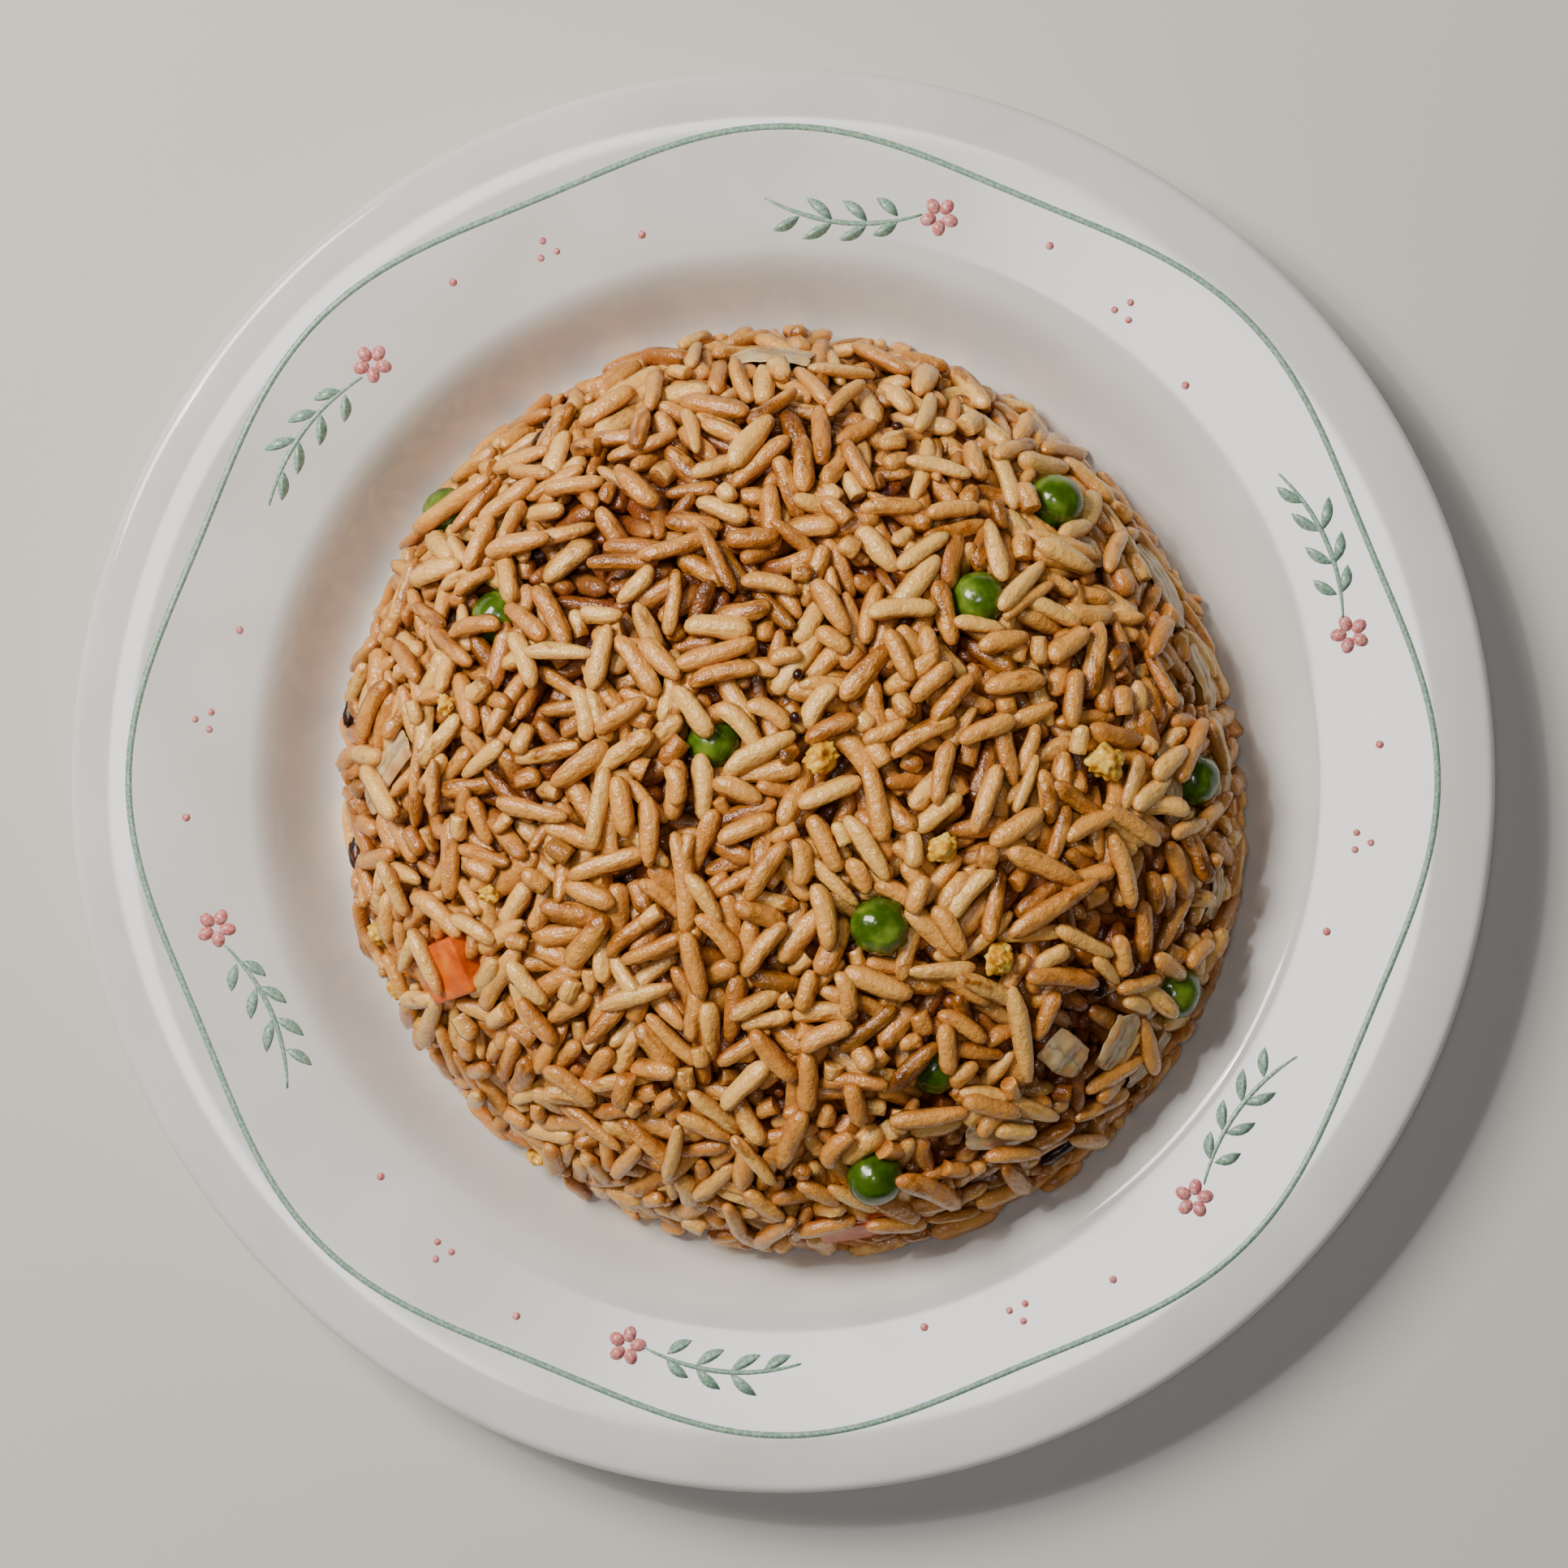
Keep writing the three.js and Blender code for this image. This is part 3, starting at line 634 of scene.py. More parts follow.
@dataclass(frozen=True)
class Pea:
    """One cooked pea: its diameter, and the dents in its skin as directions with width and depth."""

    node: str
    perch: Perch
    diameter: float
    dents: tuple[tuple[float, float, float, float, float], ...] = ()
    wrinkle: float = 0.02
    creased: bool = False
    squash: tuple[float, float, float] = (1.0, 0.94, 0.97)

    def build(self, finish: bpy.types.Material) -> None:
        """Shapes the pea from a ball and dresses it.

        Args:
            finish: Its material.
        """
        shape = bmesh.new()
        bmesh.ops.create_uvsphere(shape, u_segments=32, v_segments=20, radius=1.0)
        seed = Vector((self.diameter * 3, self.perch.middle[0], self.perch.middle[1]))
        for corner in shape.verts:
            way = corner.co.normalized()
            size = 1 - self.wrinkle * (1 + noise.noise(way * 2.4 + seed))
            size -= 1.4 * self.wrinkle * (1 - abs(noise.noise(way * 3.1 + seed)) * 3)
            for x, y, z, width, depth in self.dents:
                aside = (way - Vector((x, y, z)).normalized()).length
                size -= depth * math.exp(-(aside / width) ** 2)
            if self.creased:
                size -= 0.03 * math.exp(-((way.x + 0.35 * way.y - 0.1) / 0.05) ** 2)
            corner.co = way * size
        bmesh.ops.scale(shape, verts=shape.verts, vec=[self.diameter / 2 * share for share in self.squash])
        bmesh.ops.transform(shape, verts=shape.verts, matrix=self.perch.matrix())
        dress(show_bmesh(shape, self.node + "_skin", finish), "pea", self.node)


@dataclass(frozen=True)
class KnifeCutCarrot:
    """A carrot dice or slice: a block with softened edges and faintly uneven knife faces."""

    node: str
    perch: Perch
    length: float
    width: float
    thickness: float
    softening: float = 0.55
    waviness: float = 0.16

    def build(self, finish: bpy.types.Material) -> None:
        """Shapes the block and dresses it.

        Args:
            finish: Its material.
        """
        shape = bmesh.new()
        bmesh.ops.create_cube(shape, size=1.0)
        bmesh.ops.scale(shape, verts=shape.verts, vec=(self.length, self.thickness, self.width))
        bmesh.ops.bevel(shape, geom=shape.edges[:], offset=self.softening, segments=3, profile=0.5,
                        affect="EDGES", material=-1)
        bmesh.ops.subdivide_edges(shape, edges=[e for e in shape.edges if e.calc_length() > 2.5], cuts=5,
                                  use_grid_fill=True)
        seed = Vector((self.length, self.width, 4.0))
        for corner in shape.verts:
            wave = noise.noise(corner.co * 0.35 + seed) * 0.35 + noise.noise(corner.co * 1.3 + seed) * 0.1
            shrink = 1 - 0.02 * abs(wave) - 0.02
            corner.co = corner.co * shrink + Vector((0, self.waviness * wave, 0))
        bmesh.ops.transform(shape, verts=shape.verts, matrix=self.perch.matrix())
        dress(show_bmesh(shape, self.node + "_cut", finish), "carrot", self.node)


@dataclass(frozen=True)
class OnionSlice:
    """A slice of an onion's fleshy layer, bowed along its length and ribbed by its fibres."""

    node: str
    perch: Perch
    width: float
    thickness: float
    bow_share: float = 0.06
    rib_mm: float = 1.6
    rib_depth: float = 0.06
    raggedness: float = 0.17
    roughness: float = 0.42

    def build(self, finish: bpy.types.Material, seed: int) -> None:
        """Shapes the slice from a grid and dresses it.

        Args:
            finish: Its material.
            seed: A number that makes this slice its own shape.
        """
        length = self.perch.length()
        shape = bmesh.new()
        bmesh.ops.create_grid(shape, x_segments=18, y_segments=14, size=1.0)
        skew = 0.18 * math.sin(seed * 2.1)
        for corner in shape.verts:
            u, v = corner.co.x, corner.co.y
            edge = noise.noise(Vector((u * 1.6, v * 1.6, seed * 3.1))) + 0.6 * noise.noise(
                Vector((u * 4.4, v * 4.4, seed * 1.7)))
            half = self.width / 2 * (0.86 - 0.16 * u * u + self.raggedness * edge)
            x = length / 2 * (u * (0.91 - 0.12 * v * v + 0.12 * edge) + skew * 0.3 * v)
            rib = self.rib_depth * math.cos(math.tau * v * half / self.rib_mm + seed)
            rough = self.roughness * noise.noise(Vector((x * 0.5, v * half * 0.6, seed)))
            y = -self.bow_share * length * u * u - 0.35 * self.thickness * v ** 4 + rib * (1 - v ** 6) + rough
            corner.co = Vector((x, y - self.thickness / 2, v * half))
        bmesh.ops.solidify(shape, geom=shape.faces[:], thickness=self.thickness * 0.86)
        top = max((v.co.y for v in shape.verts), default=0)
        bmesh.ops.translate(shape, verts=shape.verts, vec=(0, self.thickness / 2 - top, 0))
        bmesh.ops.transform(shape, verts=shape.verts, matrix=self.perch.matrix())
        piece = show_bmesh(shape, self.node + "_flesh", finish)
        smooth = piece.modifiers.new("smooth_skin", "SUBSURF")
        smooth.levels = smooth.render_levels = 1
        dress(piece, "onion", self.node)


@dataclass(frozen=True)
class Scrap:
    """A small rough lump: a browned bit, an egg crumb or a seed."""

    perch: Perch
    length: float
    width: float
    thickness: float
    lumps: float = 0.22
    detail: int = 3

    def add_to(self, shape: bmesh.types.BMesh, seed: int) -> None:
        """Adds the lump to a bmesh, in place.

        Args:
            shape: The bmesh that gathers the lumps.
            seed: A number that makes this lump its own shape.
        """
        made = bmesh.ops.create_icosphere(shape, subdivisions=self.detail, radius=1.0)
        shift = Vector((seed * 1.7, seed * 0.9, -seed * 2.3))
        for corner in made["verts"]:
            way = corner.co.normalized()
            bulge = noise.noise(way * 1.5 + shift) + 0.6 * noise.noise(way * 3.6 + shift)
            corner.co = way * (1 - self.lumps + self.lumps * bulge)
        size = (self.length / 2, self.thickness / 2, self.width / 2)
        bmesh.ops.scale(shape, verts=made["verts"], vec=size)
        bmesh.ops.transform(shape, verts=made["verts"], matrix=self.perch.matrix())


# Boiled green peas: a thin waxy skin that wrinkles as it cools, under a wet film.
PEA_SKIN = SoftFood("cooked_pea_skin", "#2A4208", "#466410", "#7C9430",
                    4.0, 1.8, 0.2, 0.3, 0.2, 1.4, 0.5)
# Carrot cut with a knife and fried briefly: orange flesh with moist, faintly grainy faces.
CARROT_FLESH = SoftFood("cut_carrot_flesh", "#B84804", "#E06206", "#F28420",
                        3.2, 0.6, 0.36, 0.14, 0.3, 1.6)
# Onion fried until soft: fleshy layers that let light through, ribbed by their fibres.
ONION_FLESH = SoftFood("fried_onion_flesh", "#C08A52", "#E2B47C", "#F2D0A0",
                       3.4, 1.6, 0.28, 0.14, 0.5, 2.4, 0.7)
# Sauce and starch burnt on to the food: a dark, rough, oily crust.
DARK_CRUST = SoftFood("browned_crust", "#160B07", "#33190E", "#6E3A1C",
                      2.4, 0.6, 0.3, 0.16, 0.05, 0.6)
# Scrambled egg broken to crumbs: pale curd with golden fried edges.
EGG_CURD = SoftFood("fried_egg_curd", "#C27A12", "#ECB634", "#F8DC74",
                    2.4, 0.9, 0.4, 0.3, 0.4, 1.4, 0.3)
# The hard, smooth coat of small dark seeds.
SEED_COAT = SoftFood("dark_seed_coat", "#1E0B08", "#3A1510", "#5A241A",
                     1.0, 0.3, 0.3, 0.05, 0.05, 0.4)


@dataclass(frozen=True)
class Toppings:
    """Everything on the mound besides rice, at the places that it has in the frame."""

    peas: tuple[Pea, ...]
    carrots: tuple[KnifeCutCarrot, ...]
    onions: tuple[OnionSlice, ...]
    browned: tuple[tuple[str, Scrap], ...]
    flecks: tuple[Scrap, ...]
    egg: tuple[Scrap, ...]
    seeds: tuple[Scrap, ...]

    def build(self) -> None:
        """Builds every topping and dresses it."""
        for pieces, food in ((self.peas, PEA_SKIN), (self.carrots, CARROT_FLESH)):
            finish = food.build()
            for piece in pieces:
                piece.build(finish)
        finish = ONION_FLESH.build()
        for number, onion in enumerate(self.onions):
            onion.build(finish, number)
        finish = DARK_CRUST.build()
        for number, (node, scrap) in enumerate(self.browned):
            self.gather([scrap], node + "_crust", finish, "browned", node, 30 + number)
        self.gather(self.flecks, "browned_flecks", finish, "browned", "rice_heap", 40)
        self.gather(self.egg, "egg_crumbs", EGG_CURD.build(), "rice", "rice_heap", 50)
        self.gather(self.seeds, "dark_seeds", SEED_COAT.build(), "browned", "rice_heap", 70)

    @staticmethod
    def gather(scraps: tuple[Scrap, ...] | list[Scrap], name: str, finish: bpy.types.Material, slot: str,
               node: str, seed: int) -> None:
        """Builds several scraps as one piece.

        Args:
            scraps: The lumps.
            name: The piece's name.
            finish: Its material.
            slot: The name of its material slot.
            node: The CAD node that it stands for.
            seed: The first lump's own number.
        """
        shape = bmesh.new()
        for number, scrap in enumerate(scraps):
            scrap.add_to(shape, seed + number)
        dress(show_bmesh(shape, name, finish), slot, node)

    def keep_clear(self) -> tuple[np.ndarray, np.ndarray]:
        """Gives balls that fill the toppings, for the grains to lie against.

        Returns:
            The balls' centres and radii, in millimetres.
        """
        balls: list[tuple[Vector, float]] = []
        for pea in self.peas:
            balls.append((pea.perch.matrix().translation, pea.diameter / 2))
        for carrot in self.carrots:
            balls += self.fill(carrot.perch, carrot.length, carrot.thickness, carrot.width)
        for onion in self.onions:
            balls += self.fill(onion.perch, onion.perch.length(), onion.thickness, onion.width)
        for scrap in [s for _, s in self.browned] + list(self.flecks) + list(self.egg) + list(self.seeds):
            balls += self.fill(scrap.perch, scrap.length * 0.9, scrap.thickness * 0.8, scrap.width * 0.9)
        return np.array([tuple(b[0]) for b in balls]), np.array([b[1] for b in balls])

    @staticmethod
    def fill(perch: Perch, length: float, thickness: float, width: float) -> list[tuple[Vector, float]]:
        """Fills a block with balls no thicker than its thinnest side."""
        radius = max(min(length, thickness, width) / 2, 0.8)
        place = perch.matrix()
        spans = [max(size / 2 - radius, 0) for size in (length, thickness, width)]
        steps = [np.linspace(-s, s, max(1, int(math.ceil(2 * s / (radius * 1.2))) + 1)) if s > 0 else [0.0]
                 for s in spans]
        return [(place @ Vector((x, y, z)), radius) for x in steps[0] for y in steps[1] for z in steps[2]]


def make_toppings() -> Toppings:
    """Lists the toppings at their real sizes and places, in millimetres.

    Returns:
        The toppings, ready to build.
    """
    peas = (
        Pea("pea_01", Perch((-50.9, 40.4), 0.2), 8.4, ((-0.6, 0.8, 0.2, 0.5, 0.05),)),
        Pea("pea_02", Perch((40.0, 40.9), 1.0), 8.8, ((0.2, 0.9, 0.5, 0.35, 0.03),), 0.014, True),
        Pea("pea_03", Perch((28.8, 26.8), -1.0), 8.6, ((-0.5, 0.8, 0.1, 0.4, 0.03),)),
        Pea("pea_04", Perch((-43.6, 25.1), -2.8), 8.2),
        Pea("pea_05", Perch((-10.2, 5.5), -2.8), 8.0),
        Pea("pea_06", Perch((13.9, -20.9), 1.0), 9.2,
            ((0.15, 1.0, 0.1, 0.3, 0.14), (-0.55, 0.8, 0.3, 0.26, 0.12), (0.6, 0.8, -0.35, 0.26, 0.12),
             (0.1, 0.8, -0.7, 0.24, 0.1), (-0.2, 0.8, 0.75, 0.22, 0.1)), 0.05),
        Pea("pea_07", Perch((61.3, 0.2), 0.2), 8.2, ((0.0, 1.0, 0.1, 0.3, 0.07), (0.3, 0.9, 0.5, 0.2, 0.05))),
        Pea("pea_08", Perch((58.6, -31.6), 0.4), 8.4, ((0.3, 0.9, 0.1, 0.3, 0.05),)),
        Pea("pea_09", Perch((22.8, -43.4), -2.8), 8.0),
        Pea("pea_10", Perch((13.4, -57.8), 1.4), 8.8,
            ((0.1, 0.9, 0.35, 0.24, 0.07), (0.45, 0.7, 0.6, 0.16, 0.06)), 0.016),
    )
    carrots = (
        KnifeCutCarrot("carrot_dice", Perch((-48.6, -27.4), -1.0, 24), 9.6, 9.0, 8.2),
        KnifeCutCarrot("carrot_slice", Perch((11.2, -66.6), -0.6, 16), 12.4, 6.6, 4.4),
    )
    cuts = (
        ((45.6, 45.7), (52.4, 39.4), 5.6, 1.5, 0.2), ((52.9, 36.4), (60.9, 22.6), 7.0, 1.7, 0.3),
        ((43.2, 36.0), (47.8, 31.6), 4.2, 1.3, 0.1), ((55.9, 5.7), (58.2, -6.4), 3.6, 1.4, 0.4),
        ((60.6, 20.2), (65.2, 10.2), 5.2, 1.9, 0.3), ((65.9, 6.6), (66.8, -4.4), 3.8, 1.6, 0.2),
        ((65.4, -12.6), (64.4, -21.4), 4.2, 1.4, 0.2), ((51.2, -33.6), (47.4, -43.2), 5.4, 1.6, 0.3),
        ((58.6, -37.6), (51.6, -46.2), 5.8, 1.4, 0.2), ((37.6, -38.4), (43.8, -43.2), 5.6, 2.2, 0.4),
        ((25.8, -52.6), (37.0, -52.0), 6.2, 2.4, 0.5), ((-62.4, -4.6), (-55.4, 6.2), 5.0, 1.8, 0.3),
        ((-9.0, 63.8), (5.2, 63.2), 5.0, 1.6, 0.3),
    )
    onions = tuple(OnionSlice(f"onion_slice_{i:02d}", Perch.between(start, end, rise), width, thickness)
                   for i, (start, end, width, thickness, rise) in enumerate(cuts, 1))
    browned = (
        ("browned_bit_01", Scrap(Perch((42.2, -55.4), 0.2, 28), 10.4, 3.6, 2.2)),
        ("browned_bit_02", Scrap(Perch((-65.0, -11.2), 0.2, 100), 7.0, 4.4, 3.0)),
        ("browned_bit_03", Scrap(Perch((-35.8, 51.6), 0.2, 14), 6.2, 3.0, 2.4)),
    )
    flecks = (Scrap(Perch((46.0, -30.6), 0.5, 10), 4.4, 3.4, 3.0),
              Scrap(Perch((-65.6, 10.2), 0.7, 92), 6.0, 2.8, 2.4))
    egg_places = ((46.7, 2.6, 5.6), (22.9, -9.7, 4.6), (31.1, -25.7, 4.8), (-49.0, 11.0, 3.2),
                  (-42.5, -16.4, 3.2), (5.5, 3.3, 5.0), (-60.4, -22.8, 3.8), (-58.4, -31.4, 3.0),
                  (-53.8, -36.6, 3.2), (-37.2, -56.6, 3.2))
    egg = tuple(Scrap(Perch((x, y), size * 0.12 + 0.7, i * 40), size * 1.4, size * 1.2, size * 1.1, 0.34, 4)
                for i, (x, y, size) in enumerate(egg_places))
    seeds = tuple(Scrap(Perch((x, y), 1.7, i * 60), 2.0, 1.6, 1.6, 0.06, 2)
                  for i, (x, y) in enumerate(((16.6, 51.2), (2.1, 15.2), (1.8, 9.1))))
    return Toppings(peas, carrots, onions, browned, flecks, egg, seeds)


class GrainEnd(Enum):
    """How far along its axis a grain reaches: whole, or snapped off."""

    WHOLE = 1.0
    SNAPPED = 0.42


@dataclass(frozen=True)
class GrainShape:
    """One model grain, two units long and about one wide each way from its axis."""

    bend: float
    taper: float
    flat: float
    fullness: float
    lump: float
    end: GrainEnd = GrainEnd.WHOLE
    lobes: float = 0.08

    def build(self) -> tuple[np.ndarray, np.ndarray]:
        """Shapes the model grain from a ball.

        Returns:
            Its corners, and its triangles as corner numbers.
        """
        shape = bmesh.new()
        bmesh.ops.create_uvsphere(shape, u_segments=8, v_segments=9, radius=1.0)
        seed = Vector((self.bend * 31, self.taper * 17, self.fullness * 7))
        for corner in shape.verts:
            along = max(-1.0, min(1.0, corner.co.z))
            spread = math.hypot(corner.co.x, corner.co.y)
            turn = math.atan2(corner.co.y, corner.co.x)
            girth = max(0.0, 1 - abs(along) ** self.fullness) ** 0.5 * (1 - self.taper * along)
            girth *= (1 + self.lobes * math.cos(3 * turn + self.taper * 20)
                      + self.lump * noise.noise(corner.co * 1.7 + seed))
            scale = girth / spread if spread > 1e-6 else 0.0
            x = corner.co.x * scale + self.bend * (1 - along * along) + 0.16 * max(0.0, along) ** 3
            corner.co = Vector((x, corner.co.y * scale * self.flat, min(along, self.end.value)))
        bmesh.ops.triangulate(shape, faces=shape.faces)
        bmesh.ops.recalc_face_normals(shape, faces=shape.faces)
        corners = np.array([tuple(v.co) for v in shape.verts])
        triangles = np.array([[v.index for v in f.verts] for f in shape.faces])
        shape.free()
        return corners, triangles


GRAIN_SHAPES = (
    GrainShape(0.10, 0.02, 0.88, 4.4, 0.16), GrainShape(0.26, 0.14, 0.80, 3.4, 0.18),
    GrainShape(0.02, 0.08, 0.90, 5.4, 0.20), GrainShape(0.36, 0.05, 0.84, 4.4, 0.16),
    GrainShape(0.16, 0.18, 0.80, 3.2, 0.22), GrainShape(0.20, -0.10, 0.88, 4.8, 0.18),
    GrainShape(-0.14, 0.12, 0.82, 3.8, 0.24), GrainShape(0.46, 0.02, 0.84, 4.6, 0.18))


@dataclass(frozen=True)
class LaidGrain:
    """A grain placed one by one: its two ends in plan and its half width, in millimetres."""

    start: tuple[float, float]
    end: tuple[float, float]
    tint: float = 0.3
    toast: float = 0.1
    width: float = 1.6


def laid_grains() -> tuple[LaidGrain, ...]:
    """Lists the grains placed one by one: those round the toppings, and the largest ones of the middle and
    the lower right.

    Returns:
        The grains.
    """
    # x and y of both ends, tint, and where they differ from the usual, browning and half width
    rows = (
        (-53.6, 36.2, -41.8, 43.4, 0.3, 0.1, 1.75), (-44.4, 37.6, -35.9, 43.7, 0.34, 0.1, 1.7),
        (-48.8, 44.2, -42.3, 48.6, 0.36, 0.2), (-42.6, 45.6, -34.2, 48.2, 0.3),
        (-45.7, 30.4, -42.1, 38.6, 0.34, 0.1, 1.7), (-41.2, 33.9, -39.3, 25.6, 0.28, 0.1, 1.7),
        (-35.9, 28.0, -31.0, 18.6, 0.72, 0.2, 1.75), (-47.6, 27.2, -42.2, 30.4, 0.4, 0.3, 1.4),
        (-48.2, 21.2, -40.7, 22.4, 0.55, 0.2), (-39.0, 21.2, -36.0, 13.2, 0.2, 0.0, 1.65),
        (-40.0, 25.2, -34.2, 20.2, 0.62, 0.2), (-15.5, 13.4, -10.6, 6.2, 0.18, 0.0, 1.75),
        (-9.4, 10.9, -3.7, 4.6, 0.2, 0.0), (-8.4, 1.2, 1.9, 6.5, 0.24, 0.0, 1.8),
        (-11.8, 3.9, -11.7, -5.6, 0.14, 0.0, 1.65), (-9.9, 0.0, -3.2, -3.1, 0.3, 0.0, 1.7),
        (-15.2, 3.0, -16.1, -5.6, 0.34, 0.1, 1.65), (-5.2, 10.9, 0.9, 7.6, 0.3, 0.1, 1.55),
        (30.5, 24.3, 37.7, 31.1, 0.12, 0.0, 1.5), (24.6, 22.9, 31.9, 21.7, 0.16, 0.0, 1.25),
        (34.5, 26.6, 43.2, 22.6, 0.18, 0.0, 1.5), (28.0, 19.0, 35.2, 20.5, 0.4, 0.2),
        (35.8, 33.7, 44.0, 29.9, 0.22, 0.0, 1.7), (30.4, 48.8, 33.4, 39.2, 0.24),
        (37.6, 48.0, 44.4, 47.5, 0.46, 0.1, 1.5), (40.0, 35.0, 44.8, 37.2, 0.2, 0.0, 1.5),
        (35.9, 33.0, 45.6, 30.8, 0.3, 0.1, 1.7), (46.8, 30.0, 50.0, 36.2, 0.36, 0.2, 1.5),
        (50.5, -4.1, 56.1, 0.5, 0.2, 0.0, 1.7), (52.9, 0.4, 57.8, 4.6, 0.24, 0.0, 1.7),
        (58.6, 3.7, 62.7, 5.9, 0.4, 0.1, 1.4), (60.8, -7.4, 64.4, -3.9, 0.36, 0.1, 1.5),
        (56.4, -7.7, 61.6, -6.2, 0.36, 0.1, 1.4), (48.4, -30.1, 55.0, -28.9, 0.34, 0.1, 1.5),
        (53.9, -25.4, 58.3, -29.0, 0.44, 0.2), (58.8, -26.9, 62.5, -23.7, 0.4, 0.1, 1.5),
        (15.6, -44.4, 22.2, -37.8, 0.78, 0.9, 1.7), (23.0, -34.8, 23.7, -42.2, 0.42, 0.2),
        (15.2, -48.8, 26.8, -47.6, 0.4, 0.2, 1.7), (25.4, -44.9, 33.7, -47.6, 0.4),
        (24.4, -44.0, 28.1, -41.0, 0.4, 0.2), (12.0, -64.6, 21.0, -64.8, 0.34, 0.1, 1.5),
        (1.8, -66.3, 10.7, -64.0, 0.34, 0.2), (18.6, -63.1, 25.0, -62.0, 0.44, 0.1, 1.5),
        (15.4, -56.2, 25.8, -61.1, 0.6, 0.5, 1.8), (2.3, -58.5, 8.0, -62.1, 0.4),
        (6.2, -55.8, 10.0, -51.0, 0.4), (-53.0, -21.0, -48.2, -30.5, 0.1, 0.0, 1.7),
        (-52.9, -39.0, -48.9, -30.8, 0.22, 0.0), (-53.9, -16.5, -46.6, -22.7, 0.26, 0.0),
        (-47.9, -19.7, -41.4, -23.4, 0.24, 0.0, 1.5), (-58.8, -25.6, -55.9, -32.7, 0.28, 0.1, 1.4),
        (-43.6, -33.2, -37.8, -24.2, 0.3), (17.4, -18.5, 25.4, -25.0, 0.3, 0.1, 1.8),
        (4.5, -14.8, 6.4, -24.2, 0.28, 0.0, 1.8), (9.5, -11.3, 12.0, -16.2, 0.34),
        (13.3, -14.8, 19.0, -18.2, 0.38, 0.2), (17.4, -11.8, 20.6, -16.4, 0.3),
        (18.4, -18.9, 20.3, -13.6, 0.34), (-23.9, 20.7, -18.1, 12.1, 0.4, 0.1, 1.7),
        (-14.1, 22.2, -4.5, 21.4, 0.25, 0.1, 1.9), (-15.3, 16.4, -3.8, 19.9, 0.35),
        (-13.4, 13.8, -3.5, 16.0, 0.5, 0.6), (8.3, 11.7, 15.5, 19.2, 0.42, 0.7, 1.8),
        (12.0, 23.6, 22.0, 24.3, 0.15, 0.0, 1.7), (14.8, 21.4, 18.4, 14.2, 0.35, 0.1, 1.5),
        (18.4, 11.3, 24.2, 16.4, 0.35), (11.6, 5.6, 17.7, 8.5, 0.35, 0.1, 1.5),
        (15.5, 3.5, 24.9, 8.6, 0.3, 0.5), (10.4, 9.2, 3.3, 5.6, 0.72, 0.4, 1.5),
        (2.3, -3.6, 11.3, -0.1, 0.2, 0.0), (12.0, 2.8, 14.1, -8.7, 0.32, 0.2, 1.7),
        (9.0, -5.1, 14.8, -14.4, 0.16, 0.0, 1.7), (4.0, -5.1, 8.0, -13.0, 0.36),
        (-9.2, -8.7, -1.3, -5.5, 0.28), (-16.0, 2.1, -15.3, -3.6, 0.3, 0.1, 1.5),
        (-19.2, -2.2, -19.5, -12.3, 0.38, 0.1, 1.7), (-30.8, -13.8, -19.5, -10.4, 0.38),
        (-15.6, -7.3, -14.1, -22.3, 0.32, 0.1, 1.7), (1.9, -8.3, 2.3, -15.1, 0.34, 0.1, 1.7),
        (-26.2, -32.6, -15.7, -29.5, 0.22, 0.0), (-5.6, -28.0, 0.5, -20.5, 0.28, 0.4),
        (-12.4, -19.4, -6.6, -25.9, 0.4, 0.2), (-13.8, -21.6, -11.7, -31.0, 0.34),
        (4.1, -27.3, 2.3, -33.1, 0.38, 0.4, 1.5), (8.0, -27.3, 9.1, -33.8, 0.34, 0.2),
        (19.1, -7.3, 25.6, -2.2, 0.18, 0.0), (18.4, -7.3, 18.4, -12.3, 0.2, 0.0, 1.5),
        (-29.7, 13.5, -28.2, 5.6, 0.25, 0.0), (-26.7, 7.0, -19.5, 11.4, 0.42, 0.2, 1.5),
        (-23.9, 0.6, -22.5, -8.0, 0.36, 0.1, 1.7), (-1.7, 17.1, 2.6, 17.8, 0.3, 0.1, 1.4),
        (25.2, 5.6, 33.2, 8.6, 0.4, 0.2), (20.6, 22.2, 22.6, 13.5, 0.3),
        (4.8, 21.4, 9.4, 18.5, 0.3, 0.1, 1.5), (-6.0, 28.6, 1.9, 27.1, 0.3),
        (-29.1, 24.4, -23.2, 23.6, 0.22, 0.0, 1.5), (32.6, -29.2, 35.1, -43.6, 0.2),
        (39.7, -30.5, 36.6, -37.5, 0.5, 0.5, 1.5), (34.7, -28.1, 45.4, -29.5, 0.62, 0.5),
        (49.5, -31.9, 53.1, -33.6, 0.2, 0.0, 1.4), (25.2, -44.5, 40.0, -49.1, 0.24, 0.1, 1.9),
        (30.3, -49.8, 36.0, -50.7, 0.12, 0.0), (28.9, -53.8, 37.3, -53.7, 0.4, 0.2),
        (23.8, -19.7, 30.5, -12.8, 0.2, 0.0), (32.0, -22.1, 45.1, -14.2, 0.45, 0.3, 1.7),
        (32.0, -9.9, 42.6, -14.8, 0.3, 0.3, 1.8), (39.1, -21.1, 47.5, -25.3, 0.16, 0.0, 1.3),
        (36.4, -26.8, 41.3, -24.5, 0.24, 0.1, 1.5), (48.6, -22.4, 49.4, -28.4, 0.3),
        (47.3, -7.7, 50.3, -18.6, 0.28, 0.1, 1.7), (40.6, -8.5, 47.9, -5.1, 0.3),
        (29.7, -9.3, 37.3, -4.5, 0.3, 0.1, 1.7), (21.7, -17.8, 25.5, -24.8, 0.4, 0.2),
    )
    return tuple(LaidGrain(row[0:2], row[2:4], *row[4:]) for row in rows)


